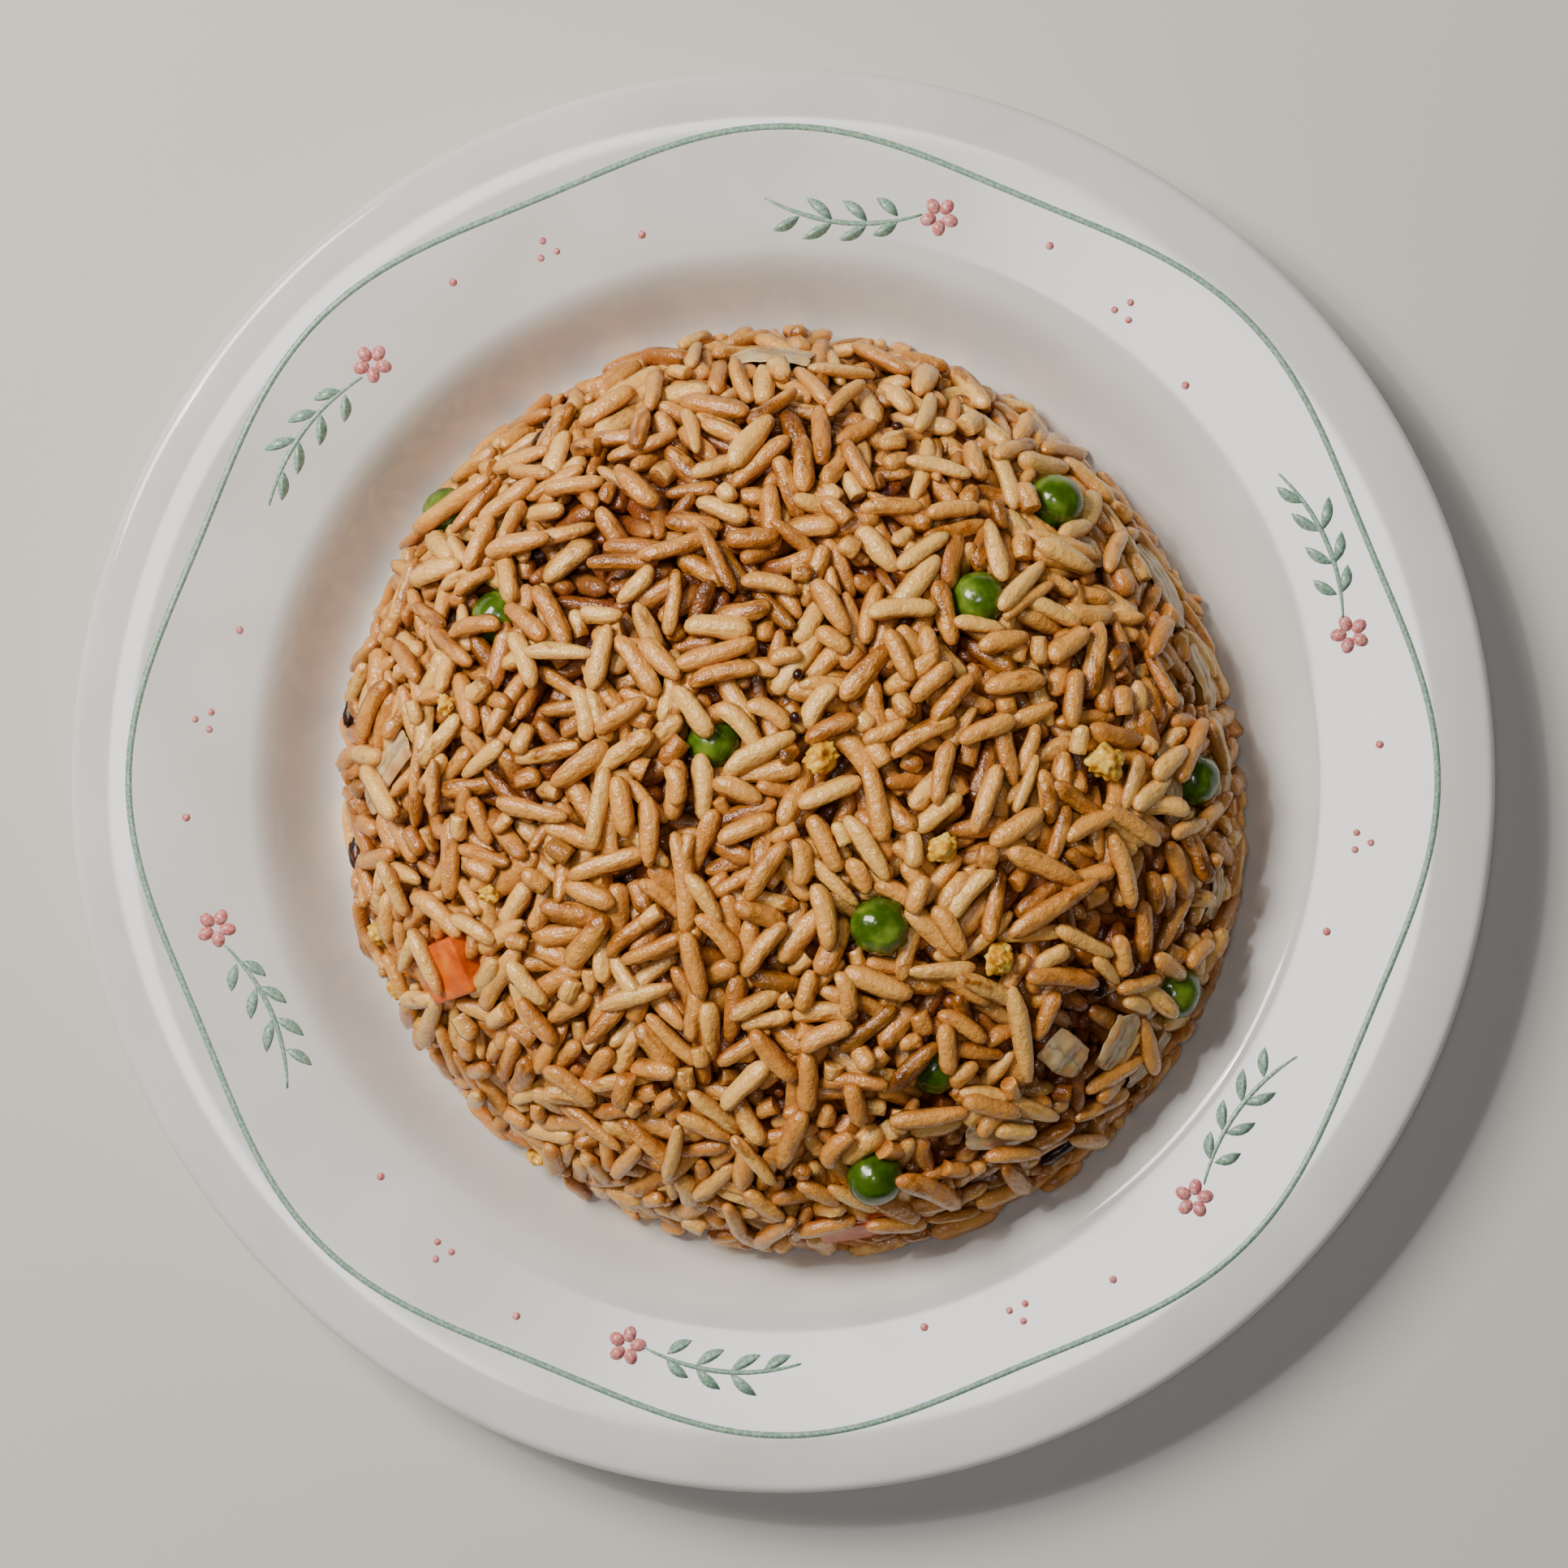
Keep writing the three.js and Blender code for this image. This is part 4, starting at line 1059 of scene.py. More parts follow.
def near_pairs(points: np.ndarray, reach: float) -> tuple[np.ndarray, np.ndarray]:
    """Finds the pairs of points closer than a reach, by sorting them into cells.

    Args:
        points: Points with three columns.
        reach: The largest distance of a pair.

    Returns:
        The first and the second point's number of each pair.
    """
    cells = np.floor(points / reach).astype(np.int64)
    cells -= cells.min(0) - 1
    sizes = cells.max(0) + 2
    keys = (cells[:, 0] * sizes[1] + cells[:, 1]) * sizes[2] + cells[:, 2]
    order = np.argsort(keys, kind="stable")
    ranked = keys[order]
    own = np.arange(len(points))
    firsts, seconds = [], []
    around = [(x, y, z) for x in (-1, 0, 1) for y in (-1, 0, 1) for z in (-1, 0, 1)]
    for x, y, z in [step for step in around if step >= (0, 0, 0)]:
        wanted = ranked + (x * sizes[1] + y) * sizes[2] + z
        stop = np.searchsorted(ranked, wanted, "right")
        start = own + 1 if (x, y, z) == (0, 0, 0) else np.searchsorted(ranked, wanted, "left")
        for k in range(int((stop - start).max(initial=0))):
            more = stop - start > k
            firsts.append(order[own[more]])
            seconds.append(order[start[more] + k])
    first = np.concatenate(firsts)
    second = np.concatenate(seconds)
    near = ((points[first] - points[second]) ** 2).sum(1) < reach * reach
    return first[near], second[near]


def unit(vectors: np.ndarray) -> np.ndarray:
    """Scales rows to a length of one."""
    return vectors / np.maximum(np.linalg.norm(vectors, axis=1), 1e-6)[:, None]


@dataclass
class RiceGrains:
    """The mound's grains. Each starts on one of a few layers and is then pushed clear of the grains,
    toppings and plate that it crosses, so that the grains lie on and beside each other."""

    toppings: Toppings
    dome_area: float = 26600.0
    area_per_grain: tuple[float, ...] = (74.0, 31.0, 26.0, 30.0)
    layer_depth: tuple[float, ...] = (-1.3, 0.5, 3.0, 5.6)
    length: float = 9.7
    length_spread: float = 1.3
    snapped_share: float = 0.27
    half_width: float = 1.54
    half_width_spread: float = 0.18
    aside: float = 2.6
    rounds: int = 90
    # painted shade in the gaps, partly dried sauce: the depth where it starts, its span and its strength
    gap_shade_from: float = 0.7
    gap_shade_span: float = 3.2
    gap_shade_share: float = 0.82
    laid_lift: float = 0.7
    laid_reach: float = 2.4
    target_spread: float = 0.8
    lean_spread: float = 0.36
    turn_spread: float = 0.75
    contact_share: float = 0.95
    push_share: float = 0.42
    hold_share: float = 0.5
    layer_pull: float = 0.1
    lean_pull: float = 0.6
    # how strongly painted shade darkens each grain's underside and flanks
    flank_shade_share: float = 0.8
    seed: int = 7
    # the balls that stand for a grain while it settles: places along it, and sizes by its half width
    ball_places: tuple[float, ...] = (-1.0, -0.36, 0.36, 1.0)
    ball_sizes: tuple[float, ...] = (0.74, 1.0, 1.0, 0.74)
    # dents of the heap's surface: x, y, width and depth
    hollows: tuple[tuple[float, float, float, float], ...] = (
        (-27, 31, 5.0, 3.4), (-37, 26, 3.4, 2.4), (-17, 43, 3.6, 2.0), (-33, 9, 4.2, 2.2),
        (27, 17, 4.4, 2.0), (8, -18, 3.6, 2.2), (45, -39, 5.0, 3.0), (-13, -28, 4.0, 1.8),
        (12, 30, 3.4, 1.6), (-2, -45, 4.0, 1.8), (40, 8, 3.6, 1.8), (20, -30, 4.0, 2.4),
        (-8, 20, 4.0, 2.2), (50, -20, 4.6, 2.2), (36, -36, 3.4, 2.6), (54, -10, 3.4, 2.2),
        (30, -58, 3.6, 2.2), (60, -22, 3.2, 2.0), (-50, -8, 3.4, 1.8))
    # places that scattered grains leave free: x, y and reach
    bare: tuple[tuple[float, float, float], ...] = ((-9.9, 3.6, 2.8),)
    # where the rice was browned more strongly: x, y and width
    browned_spots: tuple[tuple[float, float, float], ...] = (
        (-25, 45, 9), (-20, 37, 8), (-8, 25, 8), (36, -14, 9), (45, -30, 9), (40, -38, 8), (25, -37, 8),
        (30, 40, 7), (-40, 0, 7), (5, 50, 7), (28, 4, 7), (50, 14, 8),
        (52, -26, 9), (32, -52, 9), (44, -46, 9), (56, -14, 7))

    def scatter(self) -> None:
        """Lays the grains out before they settle."""
        draw = np.random.default_rng(self.seed)
        turns, angles, layers = [], [], []
        for layer, per_grain in enumerate(self.area_per_grain):
            turn, angle = HEAP.spread(int(self.dome_area / per_grain), 0.02)
            turns.append(turn)
            angles.append(angle + layer * 0.7)
            layers.append(np.full(len(turn), layer))
        turn, angle = np.concatenate(turns), np.concatenate(angles)
        self.layer = np.concatenate(layers)
        points, outward = HEAP.surface(turn, angle)
        count = len(turn)
        side = unit(np.cross(outward, draw.normal(size=(count, 3))))
        points = points + side * draw.uniform(-self.aside, self.aside, count)[:, None]
        sink = self.hollow_depth(points)
        keep = (self.layer > 1) | (sink < 1.0)
        points, outward, sink, self.layer = points[keep], outward[keep], sink[keep], self.layer[keep]
        count = len(points)
        depth = np.array(self.layer_depth)[self.layer] + sink
        self.target = -depth + draw.normal(0, self.target_spread, count)
        self.centre = points + outward * self.target[:, None]
        self.axis = self.lie(points, outward, draw)
        full = np.clip(draw.normal(self.length, self.length_spread, count), 6.8, 12.4)
        self.snapped = draw.random(count) < self.snapped_share
        self.long = np.where(self.snapped, full * draw.uniform(0.42, 0.7, count), full)
        self.wide = np.clip(draw.normal(self.half_width, self.half_width_spread, count), 1.1, 1.95)
        low = smooth_step((HEAP.top * 0.55 - points[:, 2]) / (HEAP.top * 0.4))
        upper = np.where(self.layer == 0, 1.5, 0) * (1 - low)
        self.crest = draw.uniform(0.7, 2.5, count) + upper + 0.5 * low - sink
        self.roll = draw.uniform(-0.8, 0.8, count)
        heat = self.heat(points)
        # upper layers come out a little lighter and lower layers darker: painted light and shade
        self.tint = np.clip(draw.normal(0.36, 0.17, count) + 0.2 * heat + 0.05 * (self.layer - 1), 0, 1)
        self.toast = np.clip(draw.normal(0.2, 0.26, count) + 0.5 * heat, 0, 1)
        self.shape_number = draw.integers(0, len(GRAIN_SHAPES), count)
        self.limit = np.where(draw.random(count) < 0.35 + 0.3 * low, 0.85, 0.45)
        self.anchor = np.zeros((count, 3))
        self.anchored = np.zeros(count, bool)
        self.add_laid(draw)

    def lie(self, points: np.ndarray, outward: np.ndarray, draw: np.random.Generator) -> np.ndarray:
        """Gives each grain's axis: neighbours lie roughly alike, and some lean out."""
        down = unit(np.cross(np.cross(outward, (0, 0, 1.0)) + 1e-4, outward))
        across = np.cross(outward, down)
        drift = np.array([noise.noise(Vector(p) * 0.06) for p in points]) * 9.0
        turn = drift + draw.normal(0, self.turn_spread, len(points))
        axis = down * np.cos(turn)[:, None] + across * np.sin(turn)[:, None]
        return unit(axis + outward * draw.normal(0, self.lean_spread, len(points))[:, None])

    def hollow_depth(self, points: np.ndarray) -> np.ndarray:
        """Gives how far the surface sinks at each point."""
        sink = np.zeros(len(points))
        for x, y, width, depth in self.hollows:
            away = (points[:, 0] - x) ** 2 + (points[:, 1] - y) ** 2
            sink += depth * np.exp(-away / width ** 2)
        return sink

    def heat(self, points: np.ndarray) -> np.ndarray:
        """Gives how strongly the rice was browned at each point, from 0 to 1."""
        warm = np.zeros(len(points))
        for x, y, width in self.browned_spots:
            away = (points[:, 0] - x) ** 2 + (points[:, 1] - y) ** 2
            warm = np.maximum(warm, np.exp(-away / (2 * (0.6 * width) ** 2)))
        return warm

    def add_laid(self, draw: np.random.Generator) -> None:
        """Adds the listed grains, which keep their place in plan while they settle."""
        laid = laid_grains()
        ends = [(HEAP.seat(*grain.start), HEAP.seat(*grain.end)) for grain in laid]
        middle = np.array([tuple((a[0] + b[0]) / 2 + (a[1] + b[1]) * self.laid_lift) for a, b in ends])
        along = np.array([tuple(b[0] - a[0]) for a, b in ends])
        self.along = unit(along)
        more = len(laid)
        near = np.linalg.norm(self.centre[:, None, :] - middle[None, :, :], axis=2).min(1)
        keep = (near > self.laid_reach) | (self.layer > 1)
        for x, y, reach in self.bare:
            keep &= (np.hypot(self.centre[:, 0] - x, self.centre[:, 1] - y) > reach) | (self.layer > 2)
        added = {
            "centre": middle, "axis": self.along, "long": np.linalg.norm(along, axis=1) + 0.4,
            "wide": [grain.width * 0.95 for grain in laid], "crest": np.full(more, 5.0),
            "roll": draw.uniform(-0.3, 0.3, more), "tint": [grain.tint for grain in laid],
            "toast": [grain.toast for grain in laid], "target": np.full(more, 0.9),
            "layer": np.zeros(more, int), "snapped": np.zeros(more, bool),
            "shape_number": draw.integers(0, len(GRAIN_SHAPES), more),
            "limit": np.full(more, 0.5), "anchor": middle, "anchored": np.ones(more, bool)}
        for name, values in added.items():
            setattr(self, name, np.concatenate([getattr(self, name)[keep], values]))

    def settle(self) -> None:
        """Pushes crossing grains apart, round by round."""
        fixed, fixed_size = self.toppings.keep_clear()
        places = np.array(self.ball_places)
        sizes = self.wide[:, None] * np.array(self.ball_sizes)
        reach = np.maximum(self.long / 2 - 0.8 * self.wide, 0.3)
        count, balls = sizes.shape
        owner = np.repeat(np.arange(count), balls)
        arm = (reach[:, None] * places).ravel()
        arm_sum = np.maximum((arm.reshape(count, balls) ** 2).sum(1), 0.5)
        size = np.concatenate([sizes.ravel(), fixed_size])
        owner_all = np.concatenate([owner, np.full(len(fixed), -1)])
        large = np.where(fixed_size > sizes.max())[0]
        for step in range(self.rounds):
            spots = self.centre[owner] + self.axis[owner] * arm[:, None]
            everything = np.concatenate([spots, fixed])
            if step % 5 == 0:
                first, second = near_pairs(everything, 2 * float(sizes.max()) + 0.7)
                apart = owner_all[first] != owner_all[second]
                first, second = first[apart], second[apart]
                beside = [np.where(np.linalg.norm(spots - fixed[k], axis=1) < fixed_size[k] + 3)[0]
                          for k in large]
                first = np.concatenate([first] + [np.full(len(n), len(spots) + k)
                                                  for k, n in zip(large, beside)])
                second = np.concatenate([second] + beside)
            gap = everything[first] - everything[second]
            distance = np.maximum(np.linalg.norm(gap, axis=1), 1e-4)
            overlap = (size[first] + size[second]) * self.contact_share - distance
            hit = overlap > 0
            a, b = first[hit], second[hit]
            push = gap[hit] / distance[hit][:, None] * overlap[hit][:, None]
            solid = (owner_all[a] < 0) | (owner_all[b] < 0)
            push *= np.where(solid, 1.0, 0.5)[:, None]
            total = len(everything)
            moved = np.stack([np.bincount(a, push[:, k], total) - np.bincount(b, push[:, k], total)
                              for k in range(3)], 1)[:len(spots)]
            self.nudge(moved, owner, arm, arm_sum, self.push_share)
            self.hold(owner, arm, sizes.ravel(), arm_sum)

    def nudge(self, moved: np.ndarray, owner: np.ndarray, arm: np.ndarray, arm_sum: np.ndarray,
              strength: float) -> None:
        """Moves and turns the grains by the pushes on their balls.

        Args:
            moved: The push on each ball.
            owner: Each ball's grain.
            arm: Each ball's place along its grain.
            arm_sum: Each grain's resistance to turning.
            strength: The share of the push that is applied.
        """
        count, balls = len(arm_sum), len(self.ball_places)
        shift = moved.reshape(count, balls, 3).sum(1) / 2 * strength
        torque = (np.cross(self.axis[owner] * arm[:, None], moved).reshape(count, balls, 3).sum(1)
                  / arm_sum[:, None] * strength)
        self.centre += np.clip(shift, -0.8, 0.8)
        self.axis = unit(self.axis + np.cross(np.clip(torque, -0.25, 0.25), self.axis))

    def hold(self, owner: np.ndarray, arm: np.ndarray, size: np.ndarray, arm_sum: np.ndarray) -> None:
        """Keeps the grains near their layer, under the mound's outline and over the plate.

        Args:
            owner: Each ball's grain.
            arm: Each ball's place along its grain.
            size: Each ball's radius.
            arm_sum: Each grain's resistance to turning.
        """
        deep, outward = HEAP.depth(self.centre)
        self.centre += outward * ((self.target - deep) * self.layer_pull)[:, None]
        lean = (self.axis * outward).sum(1)
        excess = lean - np.clip(lean, -self.limit, self.limit)
        self.axis = unit(self.axis - outward * (excess * self.lean_pull)[:, None])
        spots = self.centre[owner] + self.axis[owner] * arm[:, None]
        far, away = HEAP.depth(spots)
        moved = -away * np.maximum(far + size - self.crest[owner], 0)[:, None]
        floor = HEAP.plate.top(np.hypot(spots[:, 0], spots[:, 1])) + 0.1 + size
        moved[:, 2] += np.maximum(floor - spots[:, 2], 0)
        self.nudge(moved, owner, arm, arm_sum, self.hold_share)
        laid = self.anchored
        drift = self.centre[laid] - self.anchor[laid]
        out = outward[laid]
        self.centre[laid] = self.anchor[laid] + out * np.maximum((drift * out).sum(1), -0.5)[:, None]
        self.axis[laid] = unit(self.axis[laid] + self.along * 0.5)

    def frames(self) -> np.ndarray:
        """Gives each grain's turn: its columns are the broad side, the flat side and the long axis."""
        _, outward = HEAP.depth(self.centre)
        flat = unit(outward - self.axis * (outward * self.axis).sum(1)[:, None])
        broad = np.cross(flat, self.axis)
        cosine, sine = np.cos(self.roll)[:, None], np.sin(self.roll)[:, None]
        return np.stack([broad * cosine + flat * sine, flat * cosine - broad * sine, self.axis], 2)

    def build(self) -> None:
        """Settles the grains and joins them into one piece for each kind."""
        self.scatter()
        self.settle()
        whole = [shape.build() for shape in GRAIN_SHAPES]
        snapped = [replace(shape, bend=shape.bend * 0.5, end=GrainEnd.SNAPPED).build()
                   for shape in GRAIN_SHAPES]
        # the lowest layer takes the darker deep-rice colours: painted shade under the top grains
        deep = self.layer == 3
        browned = (self.tint > 0.72) & ~deep
        pale = (self.tint < 0.26) & ~deep
        tan = ~deep & ~browned & ~pale
        frames = self.frames()
        for name, chosen, finish in (("rice_tan", tan & ~self.snapped, TAN_RICE),
                                     ("rice_broken", tan & self.snapped, BROKEN_RICE),
                                     ("rice_pale", pale, PALE_RICE), ("rice_browned", browned, BROWNED_RICE),
                                     ("rice_deep", deep, DEEP_RICE)):
            self.join(name, np.where(chosen)[0], whole, snapped, frames, finish)

    def join(self, name: str, chosen: np.ndarray, whole: list, snapped: list, frames: np.ndarray,
             finish: CookedRice) -> None:
        """Joins grains of one kind into a piece.

        Args:
            name: The piece's name.
            chosen: The grains' numbers.
            whole: Model grains with both ends.
            snapped: Model grains with one end gone.
            frames: Every grain's turn.
            finish: The kind's material.
        """
        corners, triangles, places, tints, toasts, flank_shades = [], [], [], [], [], []
        total = 0
        for grain in chosen:
            model = (snapped if self.snapped[grain] else whole)[self.shape_number[grain]]
            size = np.array([self.wide[grain], self.wide[grain], self.long[grain] / 2])
            corners.append((model[0] * size) @ frames[grain].T + self.centre[grain])
            # painted shade: nothing on the grain's upper face, growing over its flanks to its underside
            flank_shades.append(smooth_step((0.75 - model[0][:, 1]) / 1.3) * self.flank_shade_share)
            triangles.append(model[1] + total)
            places.append(model[0] * size / self.half_width + (grain * 7.3, grain * 3.1, grain * 1.7))
            tints.append(np.full(len(model[0]), self.tint[grain]))
            end = model[0][:, 2] * (1 if grain % 2 else -1)
            toasts.append(self.toast[grain] * np.clip(0.7 + 0.5 * end, 0, 1))
            total += len(model[0])
        points = np.concatenate(corners)
        mesh = bpy.data.meshes.new(name)
        mesh.from_pydata((points * MM).tolist(), [], np.concatenate(triangles).tolist())
        # painted shade in the gaps, partly dried sauce: corners deeper than a level, which reaches nearer the
        # surface near browned spots, darken
        gap_shade_level = self.gap_shade_from + 1.3 * self.heat(points)
        gap_shade = self.gap_shade_share * smooth_step((gap_shade_level - HEAP.depth(points)[0]) / self.gap_shade_span)
        for label, values in (("grain_tint", np.concatenate(tints)), ("grain_toast", np.concatenate(toasts)),
                              ("grain_flank_shade", np.concatenate(flank_shades)), ("grain_gap_shade_and_sauce", gap_shade)):
            layer = mesh.attributes.new(label, "FLOAT", "POINT")
            layer.data.foreach_set("value", values.astype(np.float32))
        layer = mesh.attributes.new("grain_place", "FLOAT_VECTOR", "POINT")
        layer.data.foreach_set("vector", np.concatenate(places).astype(np.float32).ravel())
        mesh.polygons.foreach_set("use_smooth", np.ones(len(mesh.polygons), bool))
        mesh.update()
        dress(show(mesh, name, finish.build()), "rice", "rice_heap")


@dataclass
class RiceCore:
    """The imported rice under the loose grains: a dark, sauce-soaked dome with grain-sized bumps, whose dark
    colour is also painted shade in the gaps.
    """

    inset: float = 6.6
    rings: int = 56
    sides: int = 160

    def build(self) -> None:
        """Shapes the core from a ball and dresses it."""
        shape = bmesh.new()
        bmesh.ops.create_uvsphere(shape, u_segments=self.sides, v_segments=self.rings, radius=1.0)
        for corner in shape.verts:
            way = corner.co.normalized()
            angle = math.atan2(way.y, way.x)
            turn = math.acos(max(-1.0, min(1.0, way.z)))
            if turn <= math.pi / 2:
                point, outward = HEAP.surface(np.array([turn]), np.array([angle]))
                bump = noise.noise(Vector(point[0]) * 0.55) * 0.9
                place = Vector(point[0]) + Vector(outward[0]) * (bump - self.inset)
            else:
                share = math.sin(turn)
                reach = (float(HEAP.outline(np.array(angle))) - self.inset) * share
                x, y = HEAP.centre[0] + reach * math.cos(angle), HEAP.centre[1] + reach * math.sin(angle)
                place = Vector((x, y, 0))
            floor = float(HEAP.plate.top(math.hypot(place.x, place.y))) + HEAP.well_gap
            corner.co = Vector((place.x, place.y, max(place.z, floor)))
        dress(show_bmesh(shape, "rice_core", CORE_RICE.build()), "rice", "rice_heap")


@dataclass
class FlowerPrint:
    """A plain floral border on the flange: a soft wave line, leafy sprigs, round blossoms and dots. Each
    motif is a film of ink that follows the flange."""

    form: PlateForm = field(default_factory=PlateForm)
    film: float = 0.07
    proud: float = 0.03
    wave_radius: float = 97.2
    wave_depth: float = 1.7
    wave_count: int = 8
    line_width: float = 0.95
    sprigs: int = 6
    sprig_radius: float = 87.5
    first_sprig: float = 24.0
    leaves: tuple[tuple[float, int], ...] = (
        (-0.75, 1), (-0.75, -1), (-0.35, 1), (-0.35, -1), (0.1, 1), (0.1, -1), (0.5, 1))
    ink_green: OverglazeInk = OverglazeInk("sage_transfer_ink", "#7FA590", "#A9C3B4")
    ink_coral: OverglazeInk = OverglazeInk("coral_transfer_ink", "#DC7A78", "#EBB0AD")

    def lay(self, shape: bmesh.types.BMesh) -> None:
        """Lays flat motifs on the flange and gives them their thickness."""
        bmesh.ops.recalc_face_normals(shape, faces=shape.faces)
        low = bmesh.ops.extrude_face_region(shape, geom=shape.faces[:])
        lower = {v for v in low["geom"] if isinstance(v, bmesh.types.BMVert)}
        for corner in shape.verts:
            height = float(self.form.top(math.hypot(corner.co.x, corner.co.y))) + self.proud
            corner.co.z = height - (self.film if corner in lower else 0)

    def wave(self) -> bmesh.types.BMesh:
        """Draws the wave line that runs round the flange."""
        shape = bmesh.new()
        rings = []
        for side in (-0.5, 0.5):
            made = bmesh.ops.create_circle(shape, cap_ends=False, segments=480, radius=self.wave_radius)
            for corner in made["verts"]:
                angle = math.atan2(corner.co.y, corner.co.x)
                swing = self.wave_depth * math.cos(self.wave_count * angle)
                radius = self.wave_radius + swing + side * self.line_width
                corner.co = Vector((radius * math.cos(angle), radius * math.sin(angle), 0))
            rings += list({e for v in made["verts"] for e in v.link_edges})
        bmesh.ops.bridge_loops(shape, edges=rings)
        return shape

    def blob(self, shape: bmesh.types.BMesh, place: Matrix, length: float, width: float, point: float = 0.0,
             bend: float = 0.0) -> None:
        """Draws one petal, leaf or dot.

        Args:
            shape: The bmesh that gathers the motifs.
            place: Its place and turn on the flange, in millimetres.
            length: Its length along its own X.
            width: Its greatest width.
            point: 0 for round ends, 1 for sharp ones.
            bend: How far its middle is off the line between its ends.
        """
        made = bmesh.ops.create_circle(shape, cap_ends=True, segments=18, radius=1.0)
        for corner in made["verts"]:
            along, across = corner.co.x, corner.co.y
            narrow = (1 - along * along) ** 0.5 if point else 1.0
            corner.co.x = along * length / 2
            corner.co.y = across * width / 2 * (1 - point + point * narrow) + bend * (1 - along * along)
        bmesh.ops.transform(shape, verts=made["verts"], matrix=place)

    def stem(self, shape: bmesh.types.BMesh, place: Matrix, length: float, bow: float, width: float) -> None:
        """Draws a curved stem that narrows to its ends."""
        made = bmesh.ops.create_grid(shape, x_segments=18, y_segments=1, size=1.0)
        for corner in made["verts"]:
            along, side = corner.co.x, corner.co.y
            taper = 0.45 + 0.55 * (1 - along * along)
            corner.co = Vector((along * length / 2, bow * (1 - along * along) + side * width / 2 * taper, 0))
        bmesh.ops.transform(shape, verts=made["verts"], matrix=place)

    def spot(self, angle: float, radius: float, turn: float = 0.0) -> Matrix:
        """Gives a place on the flange whose X runs round the plate."""
        around = Matrix.Rotation(math.radians(angle), 4, "Z") @ Matrix.Translation((radius, 0, 0))
        return around @ Matrix.Rotation(math.radians(90 + turn), 4, "Z")

    def build(self) -> None:
        """Draws the border and dresses its three pieces."""
        green, coral = self.ink_green.build(), self.ink_coral.build()
        leaves, blossoms = bmesh.new(), bmesh.new()
        for number in range(self.sprigs):
            angle = self.first_sprig + number * 360 / self.sprigs
            flip = 1 if number % 2 else -1
            base = self.spot(angle, self.sprig_radius)
            self.stem(leaves, base, 24, 2.4 * flip, 0.8)
            for share, side in self.leaves:
                bow = 2.4 * flip * (1 - share * share)
                leaf = Matrix.Translation((share * 12 + 2.4, bow + side * 1.6, 0))
                leaf = leaf @ Matrix.Rotation(math.radians(side * 34), 4, "Z")
                self.blob(leaves, base @ leaf, 5.4 - 1.4 * abs(share), 1.7, 1.0, 0.25 * side)
            flower = base @ Matrix.Translation((-14.6, 0, 0))
            for petal in range(5):
                turn = Matrix.Rotation(math.radians(petal * 72 + number * 20), 4, "Z")
                self.blob(blossoms, flower @ turn @ Matrix.Translation((1.75, 0, 0)), 2.5, 2.0)
            middle = angle + 180 / self.sprigs
            for dot in range(3):
                turn = Matrix.Rotation(math.radians(dot * 120 + 30), 4, "Z")
                self.blob(blossoms, self.spot(middle, 88) @ turn @ Matrix.Translation((1.5, 0, 0)), 1.1, 1.1)
            for aside, radius in ((-9.5, 85.5), (9.5, 90.5)):
                self.blob(blossoms, self.spot(middle + aside, radius), 1.25, 1.25)
        for name, shape, ink in (("print_wave_line", self.wave(), green), ("print_leaves", leaves, green),
                                 ("print_blossoms", blossoms, coral)):
            self.lay(shape)
            dress(show_bmesh(shape, name, ink), "glaze")


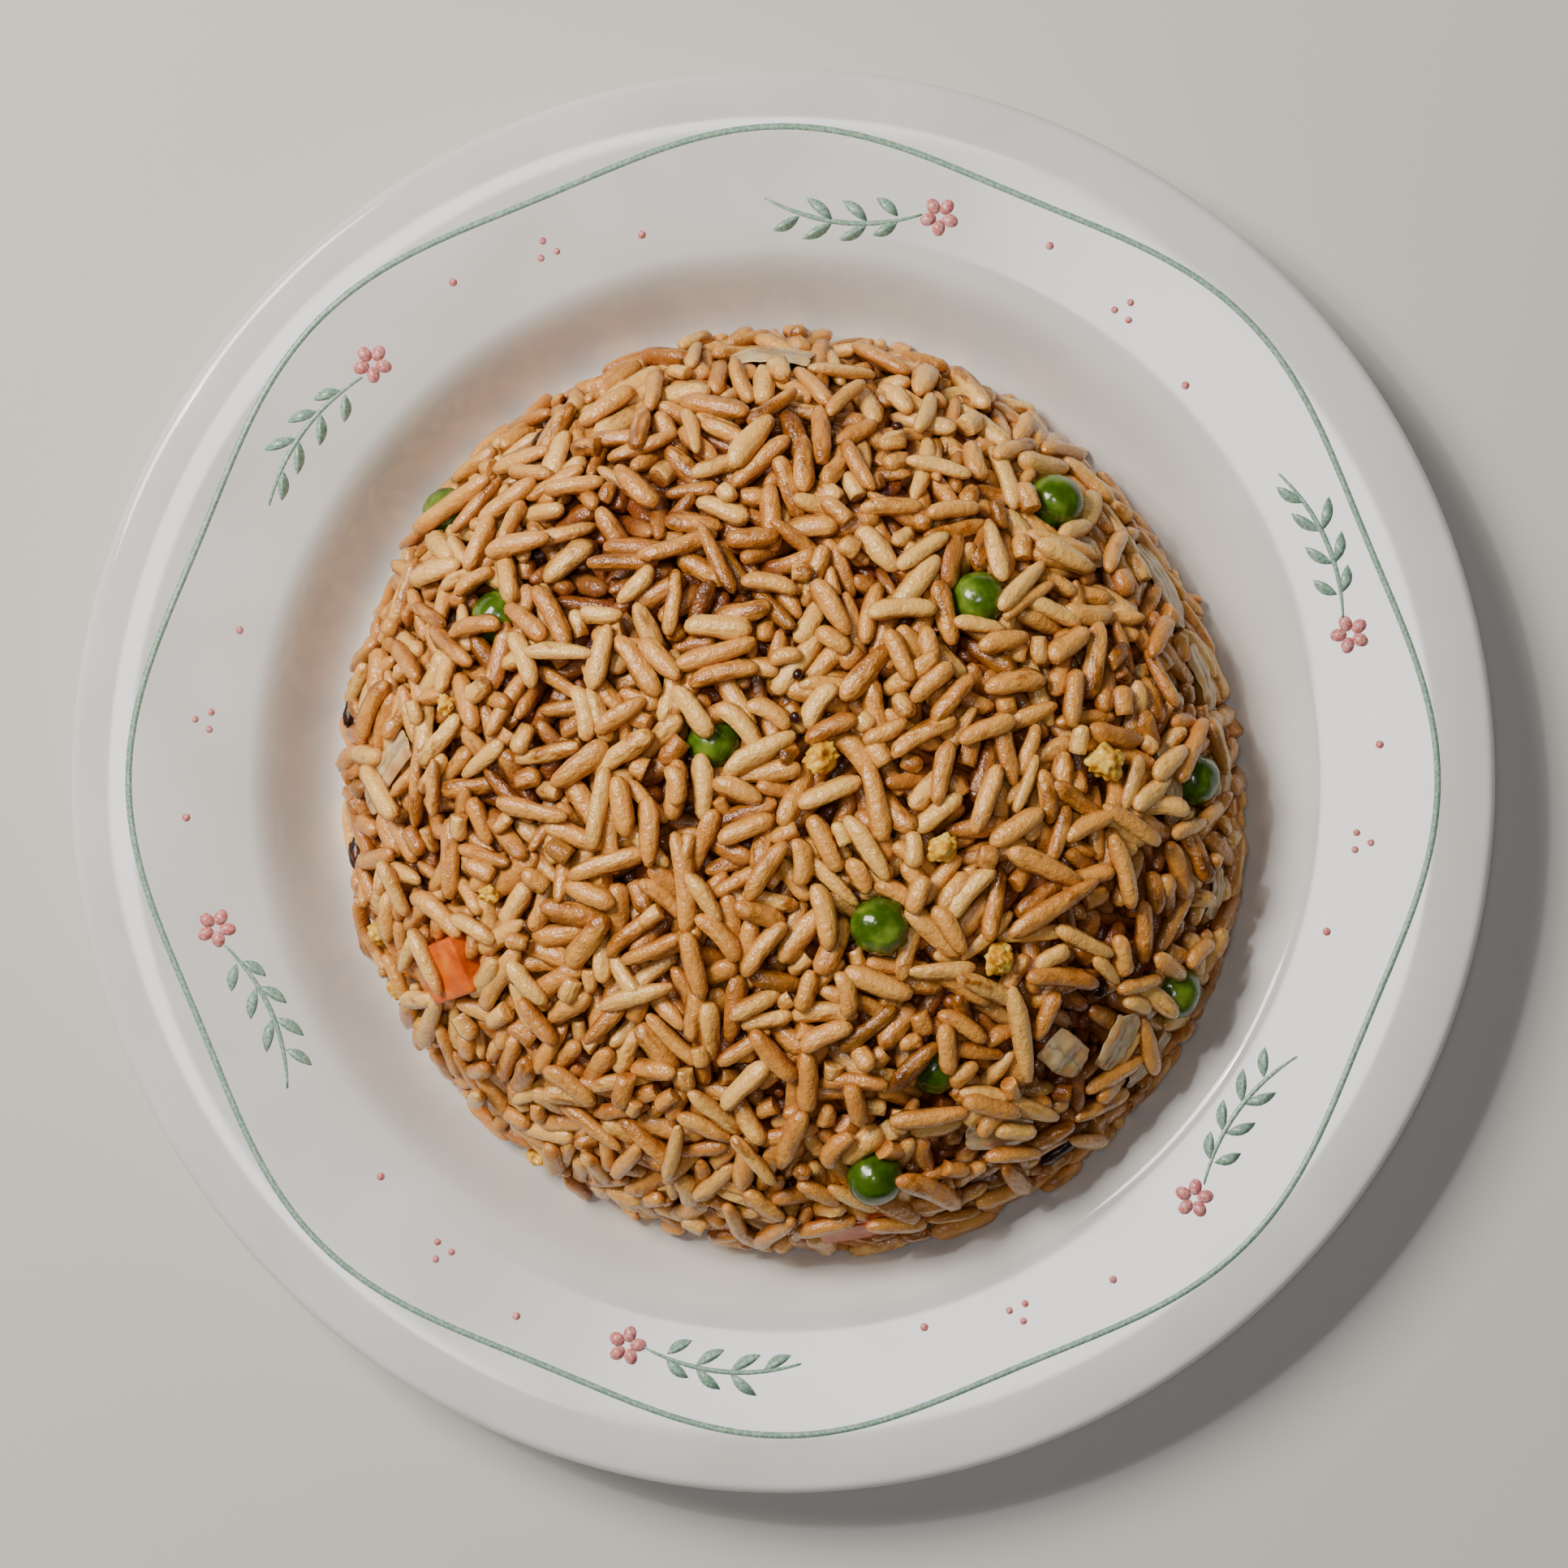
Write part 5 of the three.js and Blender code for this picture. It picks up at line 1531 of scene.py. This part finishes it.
@dataclass
class Studio:
    """The floor, the lights and the camera that looks straight down at the plate."""

    camera_height: float = 620.0
    camera_place: tuple[float, float] = (0.15, -0.47)
    rim_height: float = 18.0
    photo_span: float = 237.1
    sensor: float = 36.0

    def floor(self) -> None:
        """Lays the pale floor."""
        shape = bmesh.new()
        bmesh.ops.create_grid(shape, x_segments=1, y_segments=1, size=1500)
        show_bmesh(shape, "studio_floor", MattPaper().build())

    def light(self, name: str, place: tuple[float, float, float], size: float, power: float,
              tone: str) -> None:
        """Hangs a square soft light that faces the plate.

        Args:
            name: The light's name.
            place: Where it hangs, in metres.
            size: The length of its side, in metres.
            power: Its power in watts.
            tone: Its colour as a hex code.
        """
        lamp = bpy.data.lights.new(name, "AREA")
        lamp.size = size
        lamp.energy = power
        lamp.color = linear(tone)[:3]
        holder = bpy.data.objects.new(name, lamp)
        holder.location = place
        holder.rotation_euler = (Vector((0, 0, 0.02)) - Vector(place)).to_track_quat("-Z", "Y").to_euler()
        bpy.context.scene.collection.objects.link(holder)

    def lights(self) -> None:
        """Hangs the key light at the upper left and sets the room's even light."""
        self.light("key_softbox", (-0.474, 0.350, 0.672), 0.32, 9.4, "#FFF7EC")
        self.light("ceiling_softbox", (-0.172, 0.063, 2.000), 0.36, 6.6, "#FFFFFF")
        self.light("bare_lamp", (-0.400, 0.260, 0.770), 0.03, 1.2, "#FFFFFF")
        world = bpy.data.worlds.new("studio_room")
        world.use_nodes = True
        background = world.node_tree.nodes["Background"]
        background.inputs["Color"].default_value = linear("#E9EBEE")
        background.inputs["Strength"].default_value = 0.05
        bpy.context.scene.world = world

    def camera(self) -> None:
        """Sets the camera over the plate, as far off as the photo was taken."""
        lens = bpy.data.cameras.new("photo_camera")
        lens.sensor_width = self.sensor
        lens.lens = self.sensor * (self.camera_height - self.rim_height) / self.photo_span
        holder = bpy.data.objects.new("photo_camera", lens)
        x, y = self.camera_place
        holder.location = (x * MM, y * MM, self.camera_height * MM)
        bpy.context.scene.collection.objects.link(holder)
        bpy.context.scene.camera = holder

    def build(self) -> None:
        """Sets up the whole studio."""
        self.floor()
        self.lights()
        self.camera()


def main() -> None:
    """Builds every sub-assembly in order."""
    logging.basicConfig(level=logging.INFO, format="%(message)s")
    toppings = make_toppings()
    Plate().build()
    FlowerPrint().build()
    RiceCore().build()
    RiceGrains(toppings).build()
    toppings.build()
    Studio().build()
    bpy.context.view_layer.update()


if __name__ == "__main__":
    main()
